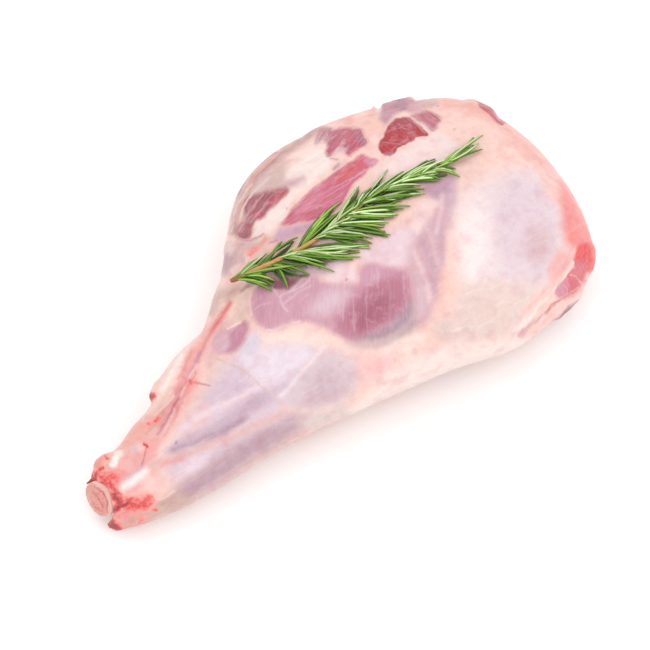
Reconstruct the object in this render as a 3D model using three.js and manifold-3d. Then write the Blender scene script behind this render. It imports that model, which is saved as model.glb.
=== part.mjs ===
// A raw bone-in leg of lamb lying on its outer side, with a sprig of rosemary on top.
// Millimetres, +Z up. X runs along the leg, from the shank end (-X) to the rump (+X), and Y across it:
// the shin side is -Y and the inner thigh bulges out to +Y. The leg rests on a flat patch at z = 0.

import * as THREE from "three";
import { mergeVertices } from "three/addons/utils/BufferGeometryUtils.js";
import Module from "manifold-3d";

const wasm = await Module();
wasm.setup();

// The whole leg
const shankEnd = -183; // x where the meat of the shank stops
const rumpEnd = 195; // x where the rump stops
const shankRounding = 5; // how far back the meat's edge rounds off at the shank end
const rumpRounding = 44; // and at the rump
const ringsAlong = 52;
const pointsAround = 42;
const endCrowding = 0.8; // 0 spreads the rings evenly along the leg, 1 crowds them at both ends

// The meat's reach at places along it: shin side, inner side, underside and top.
// An underside below 0 is where the leg's own weight flattens it on the table.
const stations = [
  { x: -194, shin: -84, inner: -42, under: 1, top: 36 },
  { x: -169, shin: -89, inner: -36, under: 0, top: 39 },
  { x: -139, shin: -92, inner: -24, under: -1, top: 42 },
  { x: -104, shin: -91, inner: -11, under: -1, top: 47 },
  { x: -74, shin: -89, inner: 10, under: -2, top: 55 },
  { x: -44, shin: -90, inner: 41, under: -3, top: 65 },
  { x: -9, shin: -93, inner: 87, under: -5, top: 76 },
  { x: 21, shin: -96, inner: 104, under: -6, top: 84 },
  { x: 56, shin: -99, inner: 107, under: -6, top: 89 },
  { x: 101, shin: -107, inner: 102, under: -6, top: 91 },
  { x: 136, shin: -104, inner: 94, under: -6, top: 88 },
  { x: 166, shin: -100, inner: 85, under: -6, top: 82 },
  { x: 196, shin: -95, inner: 75, under: -4, top: 72 },
];
const widestShare = 0.42; // the widest line runs at this share of the height
const topSquareness = 2.1; // 2 is an ellipse, more is squarer
const sideSquareness = 2.1;
const crestLean = -0.1; // the crest lies this share of the half width towards the shin

// Swells and hollows of the upper surface: centre, reach along and across, turn in degrees, and lift
const swells = [
  { name: "rump dome", x: 111, y: -46, along: 55, across: 42, turn: 20, lift: 5 },
  { name: "inner thigh", x: 41, y: 53, along: 60, across: 26, turn: -8, lift: 4 },
  { name: "thigh muscle", x: 11, y: -36, along: 42, across: 26, turn: 8, lift: 3.5 },
  { name: "shin muscle", x: -94, y: -57, along: 60, across: 15, turn: 4, lift: 3 },
  { name: "hollow behind the knee", x: -51, y: 4, along: 34, across: 11, turn: 40, lift: -4 },
  { name: "seam below the rump", x: 63, y: -60, along: 12, across: 46, turn: 24, lift: -3.5 },
  { name: "hollow at the aitch cut", x: 113, y: 45, along: 34, across: 14, turn: 12, lift: -4 },
  { name: "tendon groove", x: -129, y: -37, along: 42, across: 5, turn: 14, lift: -4 },
];

// The heel tendon's lobe, cut off square on the inner side of the shank
const tendonLobe = { x: -101, y: -18, z: 28, long: 42, wide: 15, deep: 17, turn: 29 };
const tendonCut = { x: -127, y: -20, turn: 200, leanBack: 8 };

// What stands round the bone where the foot came off
const endKnobs = [
  { name: "heel knob", x: -174, y: -45, z: 26, long: 10, wide: 8.5, deep: 9 },
  { name: "gristle", x: -169, y: -51, z: 33, long: 9, wide: 6, deep: 7 },
  { name: "pink knob", x: -181, y: -73, z: 18, long: 7, wide: 6, deep: 6 },
  { name: "lower stub", x: -181, y: -77, z: 10, long: 12, wide: 7, deep: 8 },
];
const knobSides = 14;
const knobRings = 10;

// The cut that took the leg off the loin: a nearly upright plane across the rump's corner
const loinCut = { x: 150, y: -86, turn: -70, leanBack: 14 };
const cutHeight = 40; // a cut's x and y are where its plane passes this height

// The shank bone: the middle of its section at places along it, and the half width and half height there
const boneStations = [
  { x: -192, y: -62, z: 22, wide: 12.4, high: 9.8 },
  { x: -185, y: -61.5, z: 20.5, wide: 12.2, high: 10 },
  { x: -173, y: -60, z: 20, wide: 10, high: 8.8 },
  { x: -154, y: -58, z: 22, wide: 7.6, high: 7 },
  { x: -109, y: -50, z: 28, wide: 6.6, high: 6.4 },
  { x: -59, y: -38, z: 37, wide: 8.2, high: 7.6 },
  { x: -27, y: -30, z: 42, wide: 14, high: 13 },
  { x: -9, y: -26, z: 44, wide: 15.5, high: 13.5 },
];
const boneHeadEnd = 3; // x where the knee end of it stops
const boneHeadRounding = 14;
const boneFaceTilt = 26; // degrees that the sawn face looks up
const boneFaceTurn = 8; // and towards the shin side
const faceLeanReach = 30; // the lean of the sawn face dies away along this much of the bone
const boneRim = 0.9; // rounding of the sawn edge
const boneSides = 18;
const boneRings = 18;
const boneGap = 0.4; // all round the bone in its socket
const craterWidth = 4.2; // the meat stands back this far round the bone's end
const craterLength = 20; // from the bone's face to the bottom of the crater
const craterRings = 8;

// The rosemary: a stem laid along the leg, with pairs of needle tufts up it
const stemPath = [
  { x: -48, y: 16, z: 64 },
  { x: -26, y: 12, z: 72.5 },
  { x: 0, y: 7.5, z: 81 },
  { x: 18, y: 6.5, z: 85.5 },
  { x: 40, y: 8.5, z: 89.5 },
  { x: 63, y: 11.5, z: 92 },
  { x: 82, y: 10, z: 93 },
  { x: 102, y: 7.5, z: 93.5 },
  { x: 120, y: 7.5, z: 94 },
];
const stemRadius = 1.7; // at the cut end
const stemTipRadius = 0.7;
const stemClearance = 0.9; // at least this much under the stem's skin
const stemSides = 6;
const stemRings = 20;
const firstTuft = 0.03; // share of the way up the stem
const lastTuft = 0.98;
const tuftPairs = 17;
const needlesPerTuft = 3;
const needleLength = 40; // of the longest, near the cut end
const shortest = 0.6; // the shortest needle's share of it
const lengthLoss = 0.45; // the share of it that is lost towards the tip
const spreadShin = [18, 50]; // degrees that the needles stand off the stem on the shin side
const spreadInner = [8, 28]; // and on the inner side
const needleBend = [-14, 6]; // degrees, back towards the stem or away from it
const needleClimb = [0.5, 6]; // how far a tip stands above where its needle starts
const needleWidth = 2.4;
const needleThickness = 1.3;
const needleClearance = 0.45; // between a needle's underside and the meat
const needleSides = 3; // a flat underside and a ridge on top
const needleRings = 4;

const up = new THREE.Vector3(0, 0, 1);
const radians = THREE.MathUtils.degToRad;

function solidOf(geometry) {
  const bare = geometry.clone();
  bare.deleteAttribute("normal");
  bare.deleteAttribute("uv");
  const merged = mergeVertices(bare, 1e-4);
  const mesh = new wasm.Mesh({
    numProp: 3,
    vertProperties: merged.attributes.position.array,
    triVerts: new Uint32Array(merged.index.array),
  });
  return new wasm.Manifold(mesh);
}

function geometryOf(solid) {
  const mesh = solid.getMesh();
  const geometry = new THREE.BufferGeometry();
  geometry.setAttribute("position", new THREE.BufferAttribute(mesh.vertProperties, 3));
  geometry.setIndex(new THREE.BufferAttribute(mesh.triVerts, 1));
  geometry.computeVertexNormals();
  return geometry;
}

// A closed form drawn over a sphere whose poles are its two ends.
// place(share, angle) gives the point at a share of the way along, at an angle round it.
function drawnForm(around, along, place) {
  const form = new THREE.SphereGeometry(1, around, along);
  const position = form.attributes.position;
  const vertex = new THREE.Vector3();
  for (let i = 0; i < position.count; i++) {
    vertex.fromBufferAttribute(position, i);
    const share = Math.acos(THREE.MathUtils.clamp(vertex.y, -1, 1)) / Math.PI;
    const angle = Math.atan2(vertex.z, vertex.x);
    const point = place(share, angle);
    position.setXYZ(i, point.x, point.y, point.z);
  }
  return form;
}

// A value between stations, by a smooth cubic through them
function between(list, key, x) {
  let i = 0;
  while (i < list.length - 2 && x > list[i + 1].x) i++;
  const [a, b] = [list[i], list[i + 1]];
  const before = list[Math.max(i - 1, 0)];
  const after = list[Math.min(i + 2, list.length - 1)];
  const span = b.x - a.x;
  const t = THREE.MathUtils.clamp((x - a.x) / span, 0, 1);
  const slopeA = ((b[key] - before[key]) / (b.x - before.x)) * span;
  const slopeB = ((after[key] - a[key]) / (after.x - a.x)) * span;
  const t2 = t * t;
  const t3 = t2 * t;
  return (
    (2 * t3 - 3 * t2 + 1) * a[key] +
    (t3 - 2 * t2 + t) * slopeA +
    (3 * t2 - 2 * t3) * b[key] +
    (t3 - t2) * slopeB
  );
}

// How much of the full section is left near a rounded end
function rounded(distance, reach) {
  const left = 1 - THREE.MathUtils.clamp(distance / reach, 0, 1);
  return Math.sqrt(1 - left * left);
}

function swellAt(x, y) {
  let lift = 0;
  for (const s of swells) {
    const turn = radians(s.turn);
    const dx = x - s.x;
    const dy = y - s.y;
    const u = (dx * Math.cos(turn) + dy * Math.sin(turn)) / s.along;
    const v = (dy * Math.cos(turn) - dx * Math.sin(turn)) / s.across;
    lift += s.lift * Math.exp(-u * u - v * v);
  }
  return lift;
}

function squared(value, squareness) {
  return Math.sign(value) * Math.pow(Math.abs(value), 2 / squareness);
}

// A share of the way along, moved nearer to the closer end
function crowded(share, crowding = 1) {
  return share + crowding * ((1 - Math.cos(Math.PI * share)) / 2 - share);
}

function legPoint(share, angle) {
  const x = shankEnd + (rumpEnd - shankEnd) * crowded(share, endCrowding);
  const fullness = rounded(x - shankEnd, shankRounding) * rounded(rumpEnd - x, rumpRounding);
  const shin = between(stations, "shin", x);
  const inner = between(stations, "inner", x);
  const under = between(stations, "under", x);
  const top = between(stations, "top", x);
  const middle = (shin + inner) / 2;
  const halfWidth = ((inner - shin) / 2) * fullness;
  const widest = under + (top - under) * widestShare;
  const rise = Math.sin(angle);
  const squareness = rise > 0 ? topSquareness : sideSquareness;
  const height = rise > 0 ? top - widest : widest - under;
  const risen = squared(rise, squareness);
  const lean = crestLean * halfWidth * Math.max(risen, 0);
  const y = middle + halfWidth * squared(Math.cos(angle), squareness) + lean;
  const swell = rise > 0 ? swellAt(x, y) * Math.min(1, 1.5 * rise) * fullness : 0;
  return { x, y, z: widest + height * risen * fullness + swell };
}

function ellipsoid(form) {
  const shape = new THREE.SphereGeometry(1, knobSides, knobRings);
  shape.scale(form.long, form.wide, form.deep);
  shape.rotateZ(radians(form.turn ?? 0));
  shape.translate(form.x, form.y, form.z);
  return solidOf(shape);
}

// A block that takes away all that lies beyond a plane through a point, facing along the turn
function beyondPlane(cut) {
  const size = 400;
  const block = new THREE.BoxGeometry(size, size, size);
  block.translate(size / 2, 0, 0);
  block.rotateY(radians(-cut.leanBack));
  block.rotateZ(radians(cut.turn));
  block.translate(cut.x, cut.y, cutHeight);
  return solidOf(block);
}

function table() {
  const size = 800;
  const block = new THREE.BoxGeometry(size, size, 100);
  block.translate(0, 0, -50);
  return solidOf(block);
}

// The bone, grown by some millimetres all round, from its sawn face down to some length
function bonePoint(share, angle, grown, length) {
  const first = boneStations[0].x - grown;
  const last = Math.min(boneHeadEnd + grown, first + length);
  const x = first + (last - first) * crowded(share);
  const headRounding = Math.min(boneHeadRounding, (last - first) / 3);
  const full = rounded(x - first, boneRim) * rounded(last - x, headRounding);
  const across = (between(boneStations, "wide", x) + grown) * full * Math.cos(angle);
  const rise = (between(boneStations, "high", x) + grown) * full * Math.sin(angle);
  const lean = rise * Math.tan(radians(boneFaceTilt)) - across * Math.tan(radians(boneFaceTurn));
  return {
    x: x + lean * Math.max(0, 1 - (x - first) / faceLeanReach),
    y: between(boneStations, "y", x) + across,
    z: between(boneStations, "z", x) + rise,
  };
}

function boneForm(grown = 0, length = Infinity, rings = boneRings) {
  return solidOf(drawnForm(boneSides, rings, (share, angle) => bonePoint(share, angle, grown, length)));
}

function legMeat() {
  let meat = solidOf(drawnForm(pointsAround, ringsAlong, legPoint));
  meat = meat.add(ellipsoid(tendonLobe).subtract(beyondPlane(tendonCut)));
  for (const knob of endKnobs) meat = meat.add(ellipsoid(knob));
  meat = meat.subtract(beyondPlane(loinCut));
  meat = meat.subtract(boneForm(boneGap));
  meat = meat.subtract(boneForm(craterWidth, craterLength, craterRings));
  return meat.subtract(table());
}

const meat = legMeat();
const meatGeometry = geometryOf(meat);
const meatProbe = new THREE.Mesh(meatGeometry, new THREE.MeshBasicMaterial());
const ray = new THREE.Raycaster();
const down = up.clone().negate();

function meatHeight(x, y) {
  ray.set(new THREE.Vector3(x, y, rumpEnd), down);
  const hits = ray.intersectObject(meatProbe);
  return hits.length ? hits[0].point.z : 0;
}

// The same run of numbers every time
let seed = 9;
function chance(low, high) {
  seed = (seed * 16807) % 2147483647;
  return low + ((high - low) * seed) / 2147483647;
}

const stemCurve = new THREE.CatmullRomCurve3(
  stemPath.map((place) => {
    const lie = meatHeight(place.x, place.y) + stemRadius + stemClearance;
    return new THREE.Vector3(place.x, place.y, Math.max(place.z, lie));
  }),
);

function stemForm() {
  const length = stemCurve.getLength();
  const frames = stemCurve.computeFrenetFrames(stemRings);
  return drawnForm(stemSides, stemRings, (share, angle) => {
    const i = Math.round(share * stemRings);
    const middle = stemCurve.getPointAt(share);
    const taper = stemRadius + (stemTipRadius - stemRadius) * share;
    const radius = taper * rounded(share * length, stemRadius) * rounded((1 - share) * length, stemRadius);
    return middle
      .addScaledVector(frames.normals[i], radius * Math.cos(angle))
      .addScaledVector(frames.binormals[i], radius * Math.sin(angle));
  });
}

// One needle: it leaves the stem, bends, and lies clear of the meat
function needleForm(start, heading, climb, bend, length) {
  const middles = [];
  for (let i = 0; i <= needleRings; i++) {
    const share = i / needleRings;
    const turn = heading + bend * share;
    const reach = length * share;
    const x = start.x + reach * Math.cos(turn);
    const y = start.y + reach * Math.sin(turn);
    const lie = meatHeight(x, y) + needleClearance + needleThickness / 2;
    const z = start.z + climb * Math.sin((share * Math.PI) / 2);
    middles.push(new THREE.Vector3(x, y, Math.max(z, lie)));
  }
  const path = new THREE.CatmullRomCurve3(middles);
  const across = new THREE.Vector3(-Math.sin(heading), Math.cos(heading), 0);
  return drawnForm(needleSides, needleRings, (share, angle) => {
    const full = Math.sqrt(Math.abs(Math.sin(Math.PI * share)));
    return path
      .getPoint(share)
      .addScaledVector(across, (needleWidth / 2) * full * Math.sin(angle))
      .addScaledVector(up, (-needleThickness / 2) * full * Math.cos(angle));
  });
}

function rosemary() {
  let sprig = solidOf(stemForm());
  const needles = [];
  for (let pair = 0; pair < tuftPairs; pair++) {
    const share = firstTuft + ((lastTuft - firstTuft) * pair) / (tuftPairs - 1);
    const start = stemCurve.getPointAt(share);
    const along = stemCurve.getTangentAt(share);
    const stemHeading = Math.atan2(along.y, along.x);
    for (const side of [-1, 1]) {
      for (let n = 0; n < needlesPerTuft; n++) {
        const spread = chance(...(side < 0 ? spreadShin : spreadInner));
        const heading = stemHeading + side * radians(spread);
        const bend = side * radians(chance(...needleBend));
        const length = needleLength * chance(shortest, 1) * (1 - lengthLoss * share);
        needles.push(solidOf(needleForm(start, heading, chance(...needleClimb), bend, length)));
      }
    }
  }
  for (const needle of needles) sprig = sprig.add(needle);
  return sprig;
}

function namedMesh(name, geometry, colour, roughness) {
  const material = new THREE.MeshStandardMaterial({ color: colour, roughness, metalness: 0 });
  const mesh = new THREE.Mesh(geometry, material);
  mesh.name = name;
  return mesh;
}

const bone = boneForm();
const sprig = rosemary();

const leg = new THREE.Group();
leg.add(namedMesh("leg_meat", meatGeometry, 0xf0cfc8, 0.45));
leg.add(namedMesh("shank_bone", geometryOf(bone), 0xe6c3ab, 0.5));
leg.add(namedMesh("rosemary_sprig", geometryOf(sprig), 0x5c8a3c, 0.5));

// The origin is the middle of the whole, on the table
const box = new THREE.Box3().setFromObject(leg);
const centre = box.getCenter(new THREE.Vector3());
leg.position.set(-centre.x, -centre.y, 0);

export default leg;
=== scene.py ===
# Looks for a raw bone-in leg of lamb with a sprig of rosemary. Metres, +Z up, +X towards the rump.
import math
import random

import bmesh
import bpy
import numpy as np
from mathutils import Matrix, Vector, noise
from mathutils.bvhtree import BVHTree


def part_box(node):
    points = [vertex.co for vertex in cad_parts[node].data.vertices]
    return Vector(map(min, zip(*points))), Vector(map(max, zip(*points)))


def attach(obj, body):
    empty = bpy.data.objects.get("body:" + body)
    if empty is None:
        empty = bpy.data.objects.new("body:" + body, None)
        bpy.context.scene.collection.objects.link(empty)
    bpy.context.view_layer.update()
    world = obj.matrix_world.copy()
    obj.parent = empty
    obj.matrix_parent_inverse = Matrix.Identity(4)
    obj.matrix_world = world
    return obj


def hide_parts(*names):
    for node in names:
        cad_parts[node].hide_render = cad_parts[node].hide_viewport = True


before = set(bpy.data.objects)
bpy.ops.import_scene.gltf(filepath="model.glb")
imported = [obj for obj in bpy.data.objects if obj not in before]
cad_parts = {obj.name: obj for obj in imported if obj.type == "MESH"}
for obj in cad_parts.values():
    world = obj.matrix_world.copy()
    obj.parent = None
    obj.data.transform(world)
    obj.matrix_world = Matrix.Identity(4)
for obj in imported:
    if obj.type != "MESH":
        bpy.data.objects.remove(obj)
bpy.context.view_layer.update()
mm = 0.001
skyward = Vector((0, 0, 1))
print("frame loaded:", ", ".join(sorted(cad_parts)))


# Small helpers

def linearColour(hexColour):
    channels = [int(hexColour[i:i + 2], 16) / 255 for i in (1, 3, 5)]
    return [c / 12.92 if c <= 0.04045 else ((c + 0.055) / 1.055) ** 2.4 for c in channels] + [1.0]


def addNode(material, kind, inputs=None, **settings):
    node = material.node_tree.nodes.new("ShaderNode" + kind)
    for name, value in settings.items():
        setattr(node, name, value)
    for name, value in (inputs or {}).items():
        socket = next(s for s in node.inputs if s.identifier == name)
        if isinstance(value, bpy.types.Node):      # stands for its first output in use
            value = next(s for s in value.outputs if s.enabled)
        if isinstance(value, bpy.types.NodeSocket):
            material.node_tree.links.new(value, socket)
        else:
            socket.default_value = value
    return node


def newMaterial(name):
    material = bpy.data.materials.new(name)
    material.use_nodes = True
    material.node_tree.nodes.clear()
    return material


def rampStops(node, stops):
    elements = node.color_ramp.elements
    while len(elements) < len(stops):
        elements.new(1.0)
    for element, (place, hexColour) in zip(elements, stops):
        element.position = place
        element.color = linearColour(hexColour)
    return node


def newObject(name, data):
    piece = bpy.data.objects.new(name, data)
    bpy.context.scene.collection.objects.link(piece)
    return piece


def bmeshOf(mesh):
    shape = bmesh.new()
    shape.from_mesh(mesh)
    return shape


def meshOf(shape, name):
    mesh = bpy.data.meshes.new(name)
    shape.to_mesh(mesh)
    shape.free()
    mesh.polygons.foreach_set("use_smooth", [True] * len(mesh.polygons))
    return mesh


def triangles(piece):
    return sum(len(face.vertices) - 2 for face in piece.data.polygons)


def finishPiece(piece, material, node):
    piece.data.materials.clear()
    piece.data.materials.append(material)
    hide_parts(node)
    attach(piece, "root")


def smoothStep(values, low, high):
    t = np.clip((values - low) / (high - low), 0, 1)
    return t * t * (3 - 2 * t)


def readVectors(collection, field):
    values = np.empty(len(collection) * 3, np.float32)
    collection.foreach_get(field, values)
    return values.reshape(-1, 3).astype(float)


def storeValues(mesh, name, kind, values):
    # one value, vector or colour for each point of a mesh, for its material to read
    field = {"FLOAT": "value", "FLOAT_VECTOR": "vector", "FLOAT_COLOR": "color"}[kind]
    if kind == "FLOAT_COLOR":
        values = np.hstack([values, np.ones((len(values), 1))])
    mesh.attributes.new(name, kind, "POINT").data.foreach_set(field, values.astype(np.float32).ravel())


# The photograph's camera, from which the marks on the meat are also laid out

view = {
    "turn": -30,          # degrees round the leg
    "height": 60,         # degrees above the table
    "distance": 1.7875,
    "target": (-0.004, -0.032, 0.040),
    "lens": 150,
    "sensor": 36,
    "picture": 650,       # pixels along each side
}


def viewAxes():
    turn, height = math.radians(view["turn"]), math.radians(view["height"])
    back = Vector((math.sin(turn) * math.cos(height), -math.cos(turn) * math.cos(height), math.sin(height)))
    right = Vector((math.cos(turn), math.sin(turn), 0))
    return back, right, back.cross(right)


def addCamera():
    back, right, up = viewAxes()
    lens = bpy.data.cameras.new("camera")
    lens.lens, lens.sensor_width = view["lens"], view["sensor"]
    lens.clip_end = 20
    camera = newObject("camera", lens)
    camera.location = Vector(view["target"]) + back * view["distance"]
    camera.rotation_euler = Matrix((right, up, back)).transposed().to_euler()
    bpy.context.scene.camera = camera


def pictured(points):
    # where points of the leg fall in the photograph, in its pixels
    back, right, up = (np.array(axis) for axis in viewAxes())
    offset = points - (np.array(view["target"]) + back * view["distance"])
    scale = view["lens"] / view["sensor"] * view["picture"] / -(offset @ back)
    half = view["picture"] / 2
    return np.stack([half + (offset @ right) * scale, half - (offset @ up) * scale], -1)


def unpictured(place, height):
    # the point at a height, in mm, that the photograph shows at a place in its pixels
    back, right, up = viewAxes()
    half = view["picture"] / 2
    scale = view["lens"] / view["sensor"] * view["picture"]
    ray = right * ((place[0] - half) / scale) - up * ((place[1] - half) / scale) - back
    eye = Vector(view["target"]) + back * view["distance"]
    return (eye + ray * ((height * mm - eye.z) / ray.z)) / mm


studio = {
    "sky": 1.02,              # strength of the white all round
    # size, power and place of each softbox: the main one behind, and a weaker one in front
    "softboxes": [(1.8, 8.2, (-0.5, 0.9, 2.2)), (2.0, 9.4, (0.7, -1.3, 1.5))],
    "floor": "#FFFFFF",
    "floorSize": 6.0,
}


def addStudio():
    world = bpy.data.worlds.new("studio")
    world.use_nodes = True
    world.node_tree.nodes["Background"].inputs["Color"].default_value = (1, 1, 1, 1)
    world.node_tree.nodes["Background"].inputs["Strength"].default_value = studio["sky"]
    bpy.context.scene.world = world
    bpy.context.scene.view_settings.view_transform = "Standard"
    for size, power, place in studio["softboxes"]:
        softbox = bpy.data.lights.new("softbox", "AREA")
        softbox.size, softbox.energy = size, power
        lamp = newObject("softbox", softbox)
        lamp.location = place
        lamp.rotation_euler = lamp.location.to_track_quat("Z", "Y").to_euler()
    shape = bmesh.new()
    bmesh.ops.create_grid(shape, x_segments=1, y_segments=1, size=studio["floorSize"] / 2)
    floor = newObject("floor", meshOf(shape, "floor"))
    # matt paper, so that nothing mirrors in it
    paper = newMaterial("studio paper, matt")
    surface = addNode(paper, "BsdfDiffuse", {"Color": linearColour(studio["floor"])})
    addNode(paper, "OutputMaterial", {"Surface": surface})
    floor.data.materials.append(paper)


addCamera()
addStudio()
print("camera and studio set")


# The meat

# Its marks are laid out by name in the photograph's pixels, and so are their widths and softness

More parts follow.
